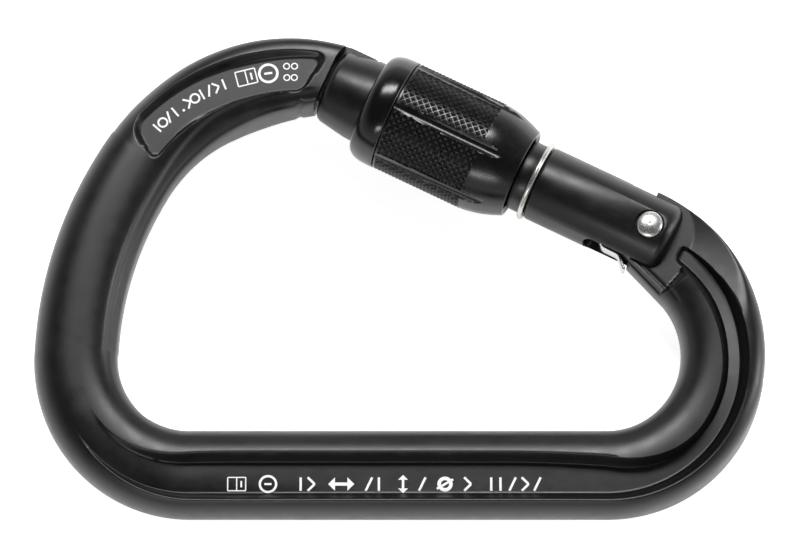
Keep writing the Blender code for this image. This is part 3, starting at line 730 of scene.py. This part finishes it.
# ---------------------------------------------------------------- pieces
class CARABINER_OT_forged_bar(bpy.types.Operator):
    """Forged bar with its recesses, marking pocket, nose and hinge tongue"""

    bl_idname = "carabiner.forged_bar"
    bl_label = "Forged bar"

    def execute(self, context):
        bar = self.bar()
        cut(bar, rivet_hole())
        finish = anodised("bar_black", look().black, 0.35, 0.42, 0.35)
        finish_piece(bar, finish, "frame", "body", 50.0)
        key = self.nose_key()
        soften_edges(key, 0.25 * MM, 3)
        finish_piece(key, finish, "frame", None)
        eye = self.tongue_eye()
        soften_edges(eye, 0.2 * MM, 3)
        finish_piece(eye, finish, "frame", None)
        return {"FINISHED"}

    def bar(self):
        bm = bmesh.new()
        rows = []
        for position in bar_positions():
            front = [bar_point(position, t) for t in face_shares(position)]
            if position < 1.0:
                front = [reach_head(keep_in_sleeve(p), position) for p in front]
            back = [Vector((p.x, p.y, -p.z)) for p in reversed(front[1:-1])]
            rows.append([bm.verts.new(p) for p in front + back])
        join_rings(bm, rows)
        for row in (rows[0], rows[-1]):
            self.cap(bm, row)
        return object_from("forged_bar", bm)

    def cap(self, bm, row):
        """Closes an end with strips between the front and the back face."""
        half = len(row) // 2
        for k in range(half):
            near, far = row[k], row[k + 1]
            back_near = row[-k] if k else row[0]
            back_far = row[-k - 1]
            corners = []
            for vert in (near, far, back_far, back_near):
                if vert not in corners:
                    corners.append(vert)
            if len(corners) > 2:
                bm.faces.new(corners)

    def nose_key(self):
        """T-shaped key on the nose, in the plane along the rod and up."""
        root, lip, tip = 53.0 * MM, 48.95 * MM, 45.9 * MM
        thin, wide = 1.5 * MM, 2.5 * MM
        low, high = -5.9 * MM, 2.6 * MM
        stem = block("nose_key", (tip + 0.2 * MM, low, -thin), (root, high, thin), gate_place())
        head = block("key_head", (tip, low, -wide), (lip, high, wide), gate_place())
        cut(stem, head, "UNION")
        trim = round_bar("key_trim", NOSE_R, 44.0 * MM, 54.0 * MM, rod_place(), 96)
        cut(stem, trim, "INTERSECT")
        lift = bar_edges(0.0)[0].y - edge_point(SPANS[0][0], 0.0).y
        centre = Matrix.Translation((OUTER_TOP[0], OUTER_TOP[1] + lift, 0.0))
        edge = round_bar("key_edge", OUTER_TOP[2], -THROUGH, THROUGH, centre, 256)
        cut(stem, edge, "INTERSECT")
        return stem

    def tongue_eye(self):
        half = TONGUE_HALF - 0.02 * MM
        eye = round_bar("tongue_eye", TONGUE_R, -half, half, gate_place(), 96)
        cut(eye, rivet_hole())
        return eye


class CARABINER_OT_gate_rod(bpy.types.Operator):
    """Turned gate rod with its head, neck, slots and key cavity"""

    bl_idname = "carabiner.gate_rod"
    bl_label = "Gate rod"

    thread_span = (22.3 * MM, 37.2 * MM)
    root_r = 4.65 * MM
    crest_r = 5.35 * MM
    lead = 2.5 * MM
    slot_half = 2.4 * MM          # half the width of the slot that the tongue stands in
    seat_level = 4.7 * MM         # the rivet's heads are sunk to this height
    outward = -9.0 * MM           # cutters start here, past the rod's outer side and its tail
    inward = 12.0 * MM            # and end here, past its inner side

    def execute(self, context):
        rod = turned("gate_rod", self.profile(), 128)
        self.cut_thread(rod)
        apply_place(rod, rod_place())
        gate = gate_place()
        half = self.slot_half
        cut(rod, block("slot", (self.outward, self.outward, -half), (5.1 * MM, self.inward, half), gate))
        cut(rod, self.side_slot(gate, half - 0.02 * MM))
        room = 1.5 * MM
        cut(rod, block("pusher_room", (3.0 * MM, 0.0, -room), (12.0 * MM, 4.7 * MM, room), gate))
        cut(rod, round_bar("bore", BORE_R, 4.0 * MM, BORE_END, rod_place(), 48))
        cut(rod, rivet_hole())
        seat = RIVET_R + 0.12 * MM
        for low, high in ((self.seat_level, THROUGH), (-THROUGH, -self.seat_level)):
            cut(rod, round_bar("seat", seat, low, high, gate, 64))
        cut(rod, self.cavity(gate))
        tidy_mesh(rod, 0.001 * MM)
        soften_edges(rod, 0.12 * MM, 2, 40.0)
        finish = anodised("rod_black", look().rod_black, 0.34, 0.25, 0.8)
        finish_piece(rod, finish, "gate", "gate", 40.0)
        return {"FINISHED"}

    def cut_thread(self, rod):
        """Raises the right-handed thread that the sleeve runs on."""
        first, last = self.thread_span
        for vert in rod.data.vertices:
            x, y, place = vert.co
            if not first < place < last or math.hypot(x, y) < self.root_r - 0.01 * MM:
                continue
            turns = (place - first) / self.lead - math.atan2(y, x) / (2.0 * math.pi)
            rise = smooth(2.0 * (1.0 - abs(2.0 * (turns % 1.0) - 1.0)) - 0.9)
            fade = smooth((place - first) / (1.0 * MM)) * smooth((last - place) / (1.0 * MM))
            share = (self.root_r + (self.crest_r - self.root_r) * rise * fade) / self.root_r
            vert.co.x, vert.co.y = x * share, y * share

    def profile(self):
        """(radius, place) down the rod from the head's front to the tail."""
        tube = 5.5 * MM
        neck = 5.2 * MM
        groove = 4.8 * MM
        head = GATE_R
        front = 5.45 * MM
        corner = 1.25 * MM
        head_rear, shank_front, shank_rear = 40.8 * MM, 40.2 * MM, 38.1 * MM
        root_front, root_rear, neck_front = 37.6 * MM, 20.4 * MM, 20.0 * MM
        line = [(0.0, GATE_FRONT)]
        line += reversed(arc_line(front - corner, GATE_FRONT - corner, corner, 8.0, 90.0, 8))
        line += [(head - 0.06 * MM, COLLAR_FRONT + 1.6 * MM), (head, COLLAR_FRONT + 0.2 * MM)]
        line += [(head, head_rear), (tube, shank_front), (tube, shank_rear), (self.root_r, root_front)]
        first, last = self.thread_span
        rows = 84
        line += [(self.root_r, mix(last, first, k / rows)) for k in range(rows + 1)]
        line += [(self.root_r, root_rear), (neck, neck_front)]
        line += [(neck, RING_FRONT + 0.05 * MM), (groove, RING_FRONT + 0.05 * MM)]
        line += [(groove, RING_REAR - 0.12 * MM), (tube - 0.25 * MM, RING_REAR - 0.12 * MM)]
        line += [(tube - 0.07 * MM, RING_REAR - 0.30 * MM), (tube, RING_REAR - 0.6 * MM)]
        tail = 1.7 * MM
        line += arc_line(tube - tail, GATE_REAR + tail, tail, 0.0, -90.0, 10)
        line.append((0.0, GATE_REAR))
        return line

    def side_slot(self, gate, half):
        """Opening on the inner side for the pusher, with rounded corners."""
        corner = 1.3 * MM
        start, front = 0.6 * MM, 7.85 * MM
        obj = block("side_slot", (self.outward, start, -half), (front, self.inward, half), gate)
        activate(obj)
        bpy.ops.object.mode_set(mode="EDIT")
        bm = bmesh.from_edit_mesh(obj.data)
        to_gate = gate.inverted()
        for edge in bm.edges:
            ends = [to_gate @ v.co for v in edge.verts]
            along = abs(ends[0].y - ends[1].y) > 1.0 * MM
            edge.select_set(along and ends[0].x > 0.0)
        bmesh.update_edit_mesh(obj.data)
        bpy.ops.mesh.bevel(offset=corner, segments=10, affect="EDGES")
        bpy.ops.object.mode_set(mode="OBJECT")
        return obj

    def cavity(self, gate):
        """T-shaped cavity that the nose's key slides out of."""
        thin, wide, bottom = 1.85 * MM, 2.85 * MM, 3.1 * MM
        low, head_low = self.outward, -9.2 * MM
        stem = block("cavity", (46.0 * MM, low, -thin), (53.0 * MM, bottom, thin), gate)
        head = block("cavity_head", (45.4 * MM, head_low, -wide), (49.4 * MM, bottom, wide), gate)
        cut(stem, head, "UNION")
        return stem


class CARABINER_OT_knurled_barrel(bpy.types.Operator):
    """Knurled barrel of the locking sleeve with its lengthwise grooves and rear cone"""

    bl_idname = "carabiner.knurled_barrel"
    bl_label = "Knurled barrel"

    samples = 8                   # points along each side of a diamond's box
    groove_r = 1.0 * MM
    groove_phase = 7.0            # the first groove is this many degrees from the top
    cone_length = 6.15 * MM
    rim_r = 6.5 * MM              # the cone ends at this radius

    def execute(self, context):
        per_turn = look().knurl_count * self.samples
        barrel = turned("knurled_barrel", self.profile(), per_turn)
        self.carve(barrel)
        apply_place(barrel, rod_place())
        finish = anodised("sleeve_black", look().sleeve_black, 0.25, 0.12, 0.7, 0.05)
        finish_piece(barrel, finish, "sleeve", "locking_sleeve", 26.0)
        return {"FINISHED"}

    def places(self):
        """Rear and front end of the knurl along the rod."""
        return BARREL_REAR + self.cone_length, COLLAR_REAR - 0.62 * MM

    def pitch(self):
        return 2.0 * math.pi * BARREL_R / look().knurl_count

    def rows(self):
        """Rows of points along the knurl, a whole number to each diamond."""
        rear, front = self.places()
        return self.samples * round((front - rear) / self.pitch())

    def cone(self, place):
        """Radius of the smooth rear cone."""
        rear = self.places()[0]
        start = BARREL_R - 0.07 * MM
        t = clamp((rear - place) / (rear - BARREL_REAR))
        return start - (start - self.rim_r) * t ** 1.75

    def profile(self):
        rear, front = self.places()
        bore = 5.75 * MM
        inner = 6.45 * MM
        neck = 7.35 * MM
        land = BARREL_R - 0.04 * MM
        line = [(neck, BARREL_END), (neck, COLLAR_REAR - 0.22 * MM)]
        line += [(land - 0.1 * MM, COLLAR_REAR - 0.22 * MM), (land, COLLAR_REAR - 0.32 * MM)]
        line.append((land, front + 0.06 * MM))
        count = self.rows()
        for k in range(count + 1):
            line.append((BARREL_R, front - (front - rear) * k / count))
        line.append((self.cone(rear), rear - 0.06 * MM))
        cone_steps = 30
        for k in range(1, cone_steps + 1):
            place = rear - 0.06 * MM - (rear - 0.06 * MM - BARREL_REAR - 0.12 * MM) * k / cone_steps
            line.append((self.cone(place), place))
        lip = 0.02 * MM
        line += [(6.42 * MM, BARREL_REAR + lip), (6.3 * MM, BARREL_REAR), (6.16 * MM, BARREL_REAR + lip)]
        bore_front, inner_rear = 28.9 * MM, 29.2 * MM
        line += [(bore, BARREL_REAR + 0.4 * MM), (bore, bore_front)]
        line += [(inner, inner_rear), (inner, BARREL_END)]
        line.append(line[0])
        return line

    def carve(self, barrel):
        """Moves the outside in to the diamonds and the grooves."""
        rear, front = self.places()
        pitch = (front - rear) / self.rows() * self.samples
        grooves = look().groove_count
        for vert in barrel.data.vertices:
            radius = math.hypot(vert.co.x, vert.co.y)
            if radius < 6.0 * MM or vert.co.z > COLLAR_REAR - 0.2 * MM:
                continue
            angle = math.atan2(vert.co.y, vert.co.x)
            target = radius
            knurled = rear - 0.01 * MM < vert.co.z < front + 0.01 * MM
            sideways = self.off_groove(angle, grooves) * radius
            bottom = self.groove_bottom(vert.co.z)
            if knurled:
                target = radius - self.diamond(angle, vert.co.z - rear, pitch)
            if sideways < self.groove_r:
                round_up = self.groove_r - math.sqrt(self.groove_r ** 2 - sideways ** 2)
                groove = bottom + round_up
                smooth_top = BARREL_R - 0.05 * MM if knurled else radius
                if groove < smooth_top + 0.12 * MM:
                    lip = min(groove, smooth_top)
                    target = min(radius, lip)
            vert.co.x *= target / radius
            vert.co.y *= target / radius

    def off_groove(self, angle, grooves):
        """Angle to the nearest groove; X of the rod's axes points down."""
        if not grooves:
            return math.pi
        sector = 2.0 * math.pi / grooves
        first = math.pi - math.radians(self.groove_phase)
        turned_angle = (angle - first) % sector
        return min(turned_angle, sector - turned_angle)

    def groove_bottom(self, place):
        rear, front = self.places()
        share = (COLLAR_REAR - place) / (COLLAR_REAR - rear)
        return BARREL_R - mix(0.10 * MM, 0.55 * MM, share)

    def diamond(self, angle, along, pitch):
        """Depth below the diamond's point: valleys cross along both diagonals."""
        u = angle / (2.0 * math.pi) * look().knurl_count
        v = along / pitch
        rise = 1.0
        for value in (u + v, u - v):
            rise = min(rise, 1.0 - abs(2.0 * (value % 1.0) - 1.0))
        flat_top = 0.86
        return look().knurl_depth * (1.0 - min(rise / flat_top, 1.0))


class CARABINER_OT_front_collar(bpy.types.Operator):
    """Smooth rounded collar pressed over the front of the barrel, and its bright seam"""

    bl_idname = "carabiner.front_collar"
    bl_label = "Front collar"

    def execute(self, context):
        collar = turned("front_collar", self.profile(), 160)
        apply_place(collar, rod_place())
        finish = anodised("collar_black", look().sleeve_black, 0.19, 0.08, 0.5, 0.05)
        finish_piece(collar, finish, "collar", "sleeve_collar", 40.0)
        seam = turned("collar_seam", self.seam_profile(), 160)
        apply_place(seam, rod_place())
        bright = polished("seam_bright", toned(look().steel, 0.16), 0.34, 0.05)
        finish_piece(seam, bright, "collar", None, 60.0)
        return {"FINISHED"}

    def profile(self):
        inside = 6.45 * MM
        rear = COLLAR_REAR
        nose = 3.0 * MM
        line = [(inside, COLLAR_FRONT - 0.15 * MM)]
        lip = 0.12 * MM
        height = BARREL_R - inside - lip
        steps = 18
        for k in range(steps + 1):
            angle = math.radians(4.0 + 86.0 * k / steps)
            radius = inside + lip + height * math.sin(angle) ** 0.92
            line.append((radius, COLLAR_FRONT - nose + nose * math.cos(angle) ** 0.9))
        line += [(BARREL_R + 0.02 * MM, rear + 0.22 * MM), (BARREL_R - 0.05 * MM, rear + 0.08 * MM)]
        seat_r, seat_front = 7.65 * MM, BARREL_END + 0.3 * MM
        line += [(BARREL_R - 0.2 * MM, rear + 0.06 * MM), (seat_r, rear + 0.06 * MM)]
        line += [(seat_r, seat_front), (inside, seat_front)]
        line.append(line[0])
        return line

    def seam_profile(self):
        """A fine turned edge between the collar and the barrel."""
        outer = BARREL_R + 0.025 * MM
        inner = 7.6 * MM
        half, corner = 0.06 * MM, 0.03 * MM
        rear, front = COLLAR_REAR - half, COLLAR_REAR + half
        line = [(inner, front), (outer - corner, front), (outer, front - corner)]
        line += [(outer, rear + corner), (outer - corner, rear), (inner, rear)]
        line.append(line[0])
        return line


class CARABINER_OT_stop_ring(bpy.types.Operator):
    """Bright wire ring behind the sleeve"""

    bl_idname = "carabiner.stop_ring"
    bl_label = "Stop ring"

    def execute(self, context):
        wire = (RING_FRONT - RING_REAR) / 2
        middle = (RING_FRONT + RING_REAR) / 2
        line = arc_line(RING_R - wire, middle, wire, 0.0, 360.0, 18)
        ring = turned("stop_wire", line, 144)
        apply_place(ring, rod_place())
        past, gap = 1.0 * MM, 0.35 * MM
        gap_low = (RING_REAR - past, -gap, -9.0 * MM)
        gap_high = (RING_FRONT + past, gap, -2.0 * MM)
        cut(ring, block("ring_gap", gap_low, gap_high, gate_place()))
        finish = polished("ring_steel", toned(look().steel, 0.8), 0.30, 0.03)
        finish_piece(ring, finish, "gate", "stop_ring", 40.0)
        return {"FINISHED"}


class CARABINER_OT_hinge_rivet(bpy.types.Operator):
    """Polished rivet with two domed heads"""

    bl_idname = "carabiner.hinge_rivet"
    bl_label = "Hinge rivet"

    def execute(self, context):
        base = 4.72 * MM
        lip = 0.18 * MM
        top = RIVET_HIGH.z
        rise = top - base - lip
        line = [(0.0, top - 0.05 * MM), (0.10 * MM, top - 0.03 * MM), (0.24 * MM, top)]
        steps = 16
        for k in range(1, steps + 1):
            angle = math.radians(8.0 + 82.0 * k / steps)
            line.append((RIVET_R * math.sin(angle), base + lip + rise * math.cos(angle)))
        line += [(RIVET_R, base), (1.5 * MM, base)]
        line += [(radius, -place) for radius, place in reversed(line)]
        rivet = turned("rivet", line, 96)
        apply_place(rivet, gate_place())
        finish = polished("rivet_steel", look().steel, 0.30, 0.12)
        finish_piece(rivet, finish, "gate", "hinge_rivet", 50.0)
        return {"FINISHED"}


class CARABINER_OT_spring_pusher(bpy.types.Operator):
    """Bent bright strip between the tongue and the closing spring"""

    bl_idname = "carabiner.spring_pusher"
    bl_label = "Spring pusher"

    # bends of the strip, mm along the rod and inward, from the tongue to the spring
    line = (
        (0.8, 6.55), (1.0, 6.32), (1.35, 6.0), (2.0, 5.25), (2.35, 4.95), (2.75, 4.82),
        (4.6, 4.78), (5.0, 4.7), (5.35, 4.42), (7.8, 2.0), (10.6, 0.1), (11.2, 0.0),
    )

    def execute(self, context):
        points = [(x * MM, y * MM) for x, y in self.line]
        strip = trace("pusher_strip", points)
        half = 1.2 * MM
        activate(strip)
        bpy.ops.object.mode_set(mode="EDIT")
        bpy.ops.mesh.select_all(action="SELECT")
        bpy.ops.mesh.extrude_edges_move(TRANSFORM_OT_translate={"value": (0.0, 2.0 * half, 0.0)})
        bpy.ops.mesh.select_all(action="SELECT")
        bpy.ops.mesh.normals_make_consistent(inside=False)
        bpy.ops.object.mode_set(mode="OBJECT")
        thick = strip.modifiers.new("gauge", "SOLIDIFY")
        thick.thickness = 0.42 * MM
        thick.offset = 0.0
        bpy.ops.object.modifier_apply(modifier=thick.name)
        soften_edges(strip, 0.08 * MM, 2, 50.0)
        swap = Matrix(((1, 0, 0, 0), (0, 0, 1, 0), (0, 1, 0, -half), (0, 0, 0, 1)))
        strip.data.transform(swap)
        strip.data.flip_normals()
        apply_place(strip, gate_place())
        tidy_mesh(strip, 0.0000005)
        finish = polished("strip_steel", look().steel, 0.22, 0.15)
        finish_piece(strip, finish, "pusher", "spring_pusher", 50.0)
        return {"FINISHED"}


class CARABINER_OT_gate_spring(bpy.types.Operator):
    """Coiled closing spring in the rod's bore"""

    bl_idname = "carabiner.gate_spring"
    bl_label = "Closing spring"

    coils = 8
    coil_r = 1.75 * MM
    wire_r = 0.30 * MM
    coil_steps = 24
    wire_sides = 10

    def execute(self, context):
        low, high, _ = rod_span("gate_spring")
        middle = self.centre_line(low + self.wire_r, high - self.wire_r)
        bm = bmesh.new()
        rings = [self.ring(bm, middle, k) for k in range(len(middle))]
        join_rings(bm, rings)
        bm.faces.new(rings[0])
        bm.faces.new(list(reversed(rings[-1])))
        spring = object_from("closing_spring", bm)
        finish = polished("spring_wire_steel", toned(look().steel, 0.8), 0.28, 0.2)
        finish_piece(spring, finish, "gate", "gate_spring", 50.0)
        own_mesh(spring)
        return {"FINISHED"}

    def centre_line(self, low, high):
        """Points of the helix along the rod."""
        steps = self.coils * self.coil_steps
        points = []
        for k in range(steps + 1):
            angle = 2.0 * math.pi * self.coils * k / steps
            x, y = self.coil_r * math.cos(angle), self.coil_r * math.sin(angle)
            points.append(rod_place() @ Vector((x, y, mix(low, high, k / steps))))
        return points

    def ring(self, bm, points, k):
        """A ring of points square to the wire."""
        ahead = points[min(k + 1, len(points) - 1)] - points[max(k - 1, 0)]
        along = ahead.normalized()
        side = along.cross(ROD_DIRECTION).normalized()
        rise = side.cross(along)
        ring = []
        for i in range(self.wire_sides):
            angle = 2.0 * math.pi * i / self.wire_sides
            out = side * math.cos(angle) + rise * math.sin(angle)
            ring.append(bm.verts.new(points[k] + out * self.wire_r))
        return ring


class CARABINER_OT_markings(bpy.types.Operator):
    """Generic laser marks on the spine's web and in the pocket"""

    bl_idname = "carabiner.markings"
    bl_label = "Markings"

    ink = 0.03 * MM               # how far the marks stand above the metal

    def execute(self, context):
        finish = marking_paint(look().marking)
        row = self.row(look().mark_height)
        self.piece("spine_marks", row, WEB_HALF, finish)
        self.piece("pocket_marks", self.arc(), POCKET_FLOOR, finish)
        return {"FINISHED"}

    def piece(self, name, shapes, level, finish):
        bm = bmesh.new()
        for outline in shapes:
            top = [bm.verts.new((p.x, p.y, level + self.ink)) for p in outline]
            low = [bm.verts.new((p.x, p.y, level - self.ink)) for p in outline]
            bm.faces.new(top)
            bm.faces.new(list(reversed(low)))
            for k in range(len(outline)):
                after = (k + 1) % len(outline)
                bm.faces.new((top[k], low[k], low[after], top[after]))
        finish_piece(object_from(name, bm), finish, "frame", None, 30.0)

    def stroke(self, start, end, width):
        """A straight bar between two points, in units of the mark's height."""
        a, b = Vector(start), Vector(end)
        side = (b - a).orthogonal().normalized() * width / 2
        return [[a + side, a - side, b - side, b + side]]

    def band(self, radius, width, first=0.0, last=360.0):
        """An arc drawn as a row of quadrilaterals."""
        steps = 28
        quads = []
        for k in range(steps):
            angles = [math.radians(mix(first, last, (k + j) / steps)) for j in (0, 1)]
            ends = [Vector((math.cos(a), math.sin(a))) for a in angles]
            far, near = radius + width / 2, radius - width / 2
            quads.append([ends[0] * near, ends[0] * far, ends[1] * far, ends[1] * near])
        return quads

    def arrow(self, angle):
        """An arrow with a head at both ends."""
        turn = Matrix.Rotation(math.radians(angle), 2)
        shapes = self.stroke((-0.45, 0.0), (0.45, 0.0), 0.2)
        shapes.append([Vector((0.8, 0.0)), Vector((0.38, 0.42)), Vector((0.38, -0.42))])
        shapes.append([Vector((-0.8, 0.0)), Vector((-0.38, -0.42)), Vector((-0.38, 0.42))])
        return [[turn @ p for p in outline] for outline in shapes]

    def glyph(self, kind):
        """Plain signs about the origin, one unit high."""
        line = 0.14
        half = 0.42
        if kind == "frame":
            thin = 0.07
            corners = [(-0.55, -half), (0.55, -half), (0.55, half), (-0.55, half)]
            sides = zip(corners, corners[1:] + corners[:1])
            shapes = [q for a, b in sides for q in self.stroke(a, b, thin)]
            shapes += self.stroke((0.0, -half), (0.0, half), thin)
            return shapes + self.stroke((0.28, -0.2), (0.28, 0.2), 0.1)
        if kind == "ring":
            return self.band(0.5, line) + self.stroke((-0.22, 0.0), (0.22, 0.0), 0.12)
        if kind == "chevron":
            tip = (0.2, 0.0)
            return self.stroke((-0.22, half), tip, line) + self.stroke(tip, (-0.22, -half), line)
        if kind == "across":
            return self.arrow(0.0)
        if kind == "upright":
            return [[p * 0.72 for p in outline] for outline in self.arrow(90.0)]
        if kind == "bar":
            return self.stroke((0.0, -half), (0.0, half), line)
        if kind == "round":
            return self.band(0.34, line)
        if kind == "dot":
            return self.stroke((-0.09, -0.3), (0.09, -0.3), 0.18)
        if kind == "solid":
            return self.band(0.36, 0.22) + self.stroke((-0.5, -0.3), (0.5, 0.3), 0.14)
        return self.stroke((-0.2, -half), (0.2, half), line)

    def row(self, height):
        """Signs along the spine's web, from the toe to the heel."""
        signs = (
            ("frame", -22.9), ("ring", -18.5), ("bar", -13.9), ("chevron", -12.4), ("across", -8.2),
            ("slash", -4.3), ("bar", -2.9), ("upright", 0.5), ("slash", 3.2), ("solid", 6.4),
            ("chevron", 9.6), ("bar", 12.9), ("bar", 14.2), ("slash", 15.9), ("chevron", 17.7),
            ("slash", 19.4),
        )
        level = -30.7 * MM
        shapes = []
        for kind, along in signs:
            middle = Vector((along * MM, level))
            shapes += [[middle + p * height for p in outline] for outline in self.glyph(kind)]
        return shapes

    def arc(self):
        """Signs round the pocket: a fine row, two larger signs and a block of four."""
        centre = Vector((OUTER_TOP[0], OUTER_TOP[1] + 1.0 * MM))
        radius = 26.1 * MM
        fine = ("bar", "round", "slash", "bar", "dot", "chevron", "round", "bar", "slash", "chevron", "bar")
        signs = [(kind, 137.3 - 2.55 * k, 0.0, 1.9 * MM) for k, kind in enumerate(fine)]
        signs += [("frame", 104.4, 0.0, 2.6 * MM), ("ring", 97.4, 0.0, 2.6 * MM)]
        for angle in (91.6, 89.2):
            for offset in (0.85, -0.85):
                signs.append(("round", angle, offset * MM, 1.25 * MM))
        shapes = []
        for kind, angle, offset, height in signs:
            turn = Matrix.Rotation(math.radians(angle - 90.0), 2)
            middle = centre + turn @ Vector((0.0, radius + offset))
            shapes += [[middle + turn @ p * height for p in outline] for outline in self.glyph(kind)]
        return shapes


class CARABINER_OT_stage(bpy.types.Operator):
    """Pale floor, soft lights and camera"""

    bl_idname = "carabiner.stage"
    bl_label = "Stage"

    tilt = 15.5                   # the camera leans this many degrees towards the spine
    view_width = 0.11384          # width of the view at the mid-plane
    view_distance = 0.9
    light_distance = 0.7

    def execute(self, context):
        self.floor()
        self.world()
        self.lights()
        self.camera()
        context.scene.view_settings.view_transform = "Standard"
        return {"FINISHED"}

    def floor(self):
        deselect()
        low = CAD_BOX[0].z - 0.05 * MM
        bpy.ops.mesh.primitive_plane_add(size=3.0, location=(0.0, 0.0, low))
        floor = bpy.context.active_object
        floor.name = "floor"
        n = Nodes("pale_floor")
        n.shader.inputs["Base Color"].default_value = (0.9, 0.9, 0.9, 1.0)
        n.shader.inputs["Roughness"].default_value = 0.9
        n.shader.inputs["Emission Color"].default_value = (1.0, 1.0, 1.0, 1.0)
        n.shader.inputs["Emission Strength"].default_value = look().floor_white
        floor.data.materials.append(n.material)

    def world(self):
        """Soft surroundings, bright near the horizon and dim overhead."""
        world = bpy.data.worlds.new("studio")
        bpy.context.scene.world = world
        world.use_nodes = True
        tree = world.node_tree
        background = tree.nodes["Background"]
        place = tree.nodes.new("ShaderNodeTexCoord")
        split = tree.nodes.new("ShaderNodeSeparateXYZ")
        ramp = tree.nodes.new("ShaderNodeMapRange")
        tree.links.new(place.outputs["Generated"], split.inputs["Vector"])
        tree.links.new(split.outputs["Z"], ramp.inputs["Value"])
        ramp.inputs["From Min"].default_value = 0.08
        ramp.inputs["From Max"].default_value = 0.60
        ramp.inputs["To Min"].default_value = 0.90
        ramp.inputs["To Max"].default_value = 0.07
        tree.links.new(ramp.outputs["Result"], background.inputs["Color"])
        background.inputs["Strength"].default_value = 1.0

    def soft_box(self, name, direction, size, power):
        """Area light that looks at the carabiner; size is (across, along)."""
        data = bpy.data.lights.new(name, "AREA")
        data.shape = "RECTANGLE"
        data.size, data.size_y = size
        data.energy = power
        lamp = bpy.data.objects.new(name, data)
        bpy.context.scene.collection.objects.link(lamp)
        away = Vector(direction).normalized()
        lamp.location = away * self.light_distance
        lamp.rotation_euler = away.to_track_quat("Z", "Y").to_euler()

    def lights(self):
        self.soft_box("key_box", (0.02, 0.545, 0.84), (0.42, 0.15), 4.0)
        self.soft_box("side_box", (1.0, 0.05, 0.28), (0.12, 0.40), 1.5)
        self.soft_box("front_box", (-0.15, -0.81, 0.59), (0.42, 0.10), 1.1)

    def camera(self):
        data = bpy.data.cameras.new("camera")
        data.sensor_width = 36.0
        data.lens = data.sensor_width * self.view_distance / self.view_width
        data.clip_start = 0.01
        data.clip_end = 10.0
        camera = bpy.data.objects.new("camera", data)
        bpy.context.scene.collection.objects.link(camera)
        lean = math.radians(self.tilt)
        back = Vector((0.0, -math.sin(lean), math.cos(lean)))
        target = Vector((0.07 * MM, -0.22 * MM, 0.0))
        camera.location = target + back * self.view_distance
        camera.rotation_euler = (lean, 0.0, 0.0)
        bpy.context.scene.camera = camera


class CARABINER_PT_panel(bpy.types.Panel):
    """Sizes, colours and the steps that build the carabiner"""

    bl_label = "Carabiner"
    bl_idname = "CARABINER_PT_panel"
    bl_space_type = "VIEW_3D"
    bl_region_type = "UI"
    bl_category = "Carabiner"

    def draw(self, context):
        for name in CarabinerLook.__annotations__:
            self.layout.prop(context.scene.carabiner_look, name)
        for step in STEPS:
            self.layout.operator(step.bl_idname)


STEPS = (
    CARABINER_OT_stage,
    CARABINER_OT_forged_bar,
    CARABINER_OT_gate_rod,
    CARABINER_OT_knurled_barrel,
    CARABINER_OT_front_collar,
    CARABINER_OT_stop_ring,
    CARABINER_OT_hinge_rivet,
    CARABINER_OT_spring_pusher,
    CARABINER_OT_gate_spring,
    CARABINER_OT_markings,
)


def register():
    bpy.utils.register_class(CarabinerLook)
    for step in STEPS:
        bpy.utils.register_class(step)
    bpy.utils.register_class(CARABINER_PT_panel)
    bpy.types.Scene.carabiner_look = bpy.props.PointerProperty(type=CarabinerLook)


def unregister():
    del bpy.types.Scene.carabiner_look
    bpy.utils.unregister_class(CARABINER_PT_panel)
    for step in reversed(STEPS):
        bpy.utils.unregister_class(step)
    bpy.utils.unregister_class(CarabinerLook)


def main():
    register()
    for step in STEPS:
        group, name = step.bl_idname.split(".")
        getattr(getattr(bpy.ops, group), name)()


if __name__ == "__main__":
    main()
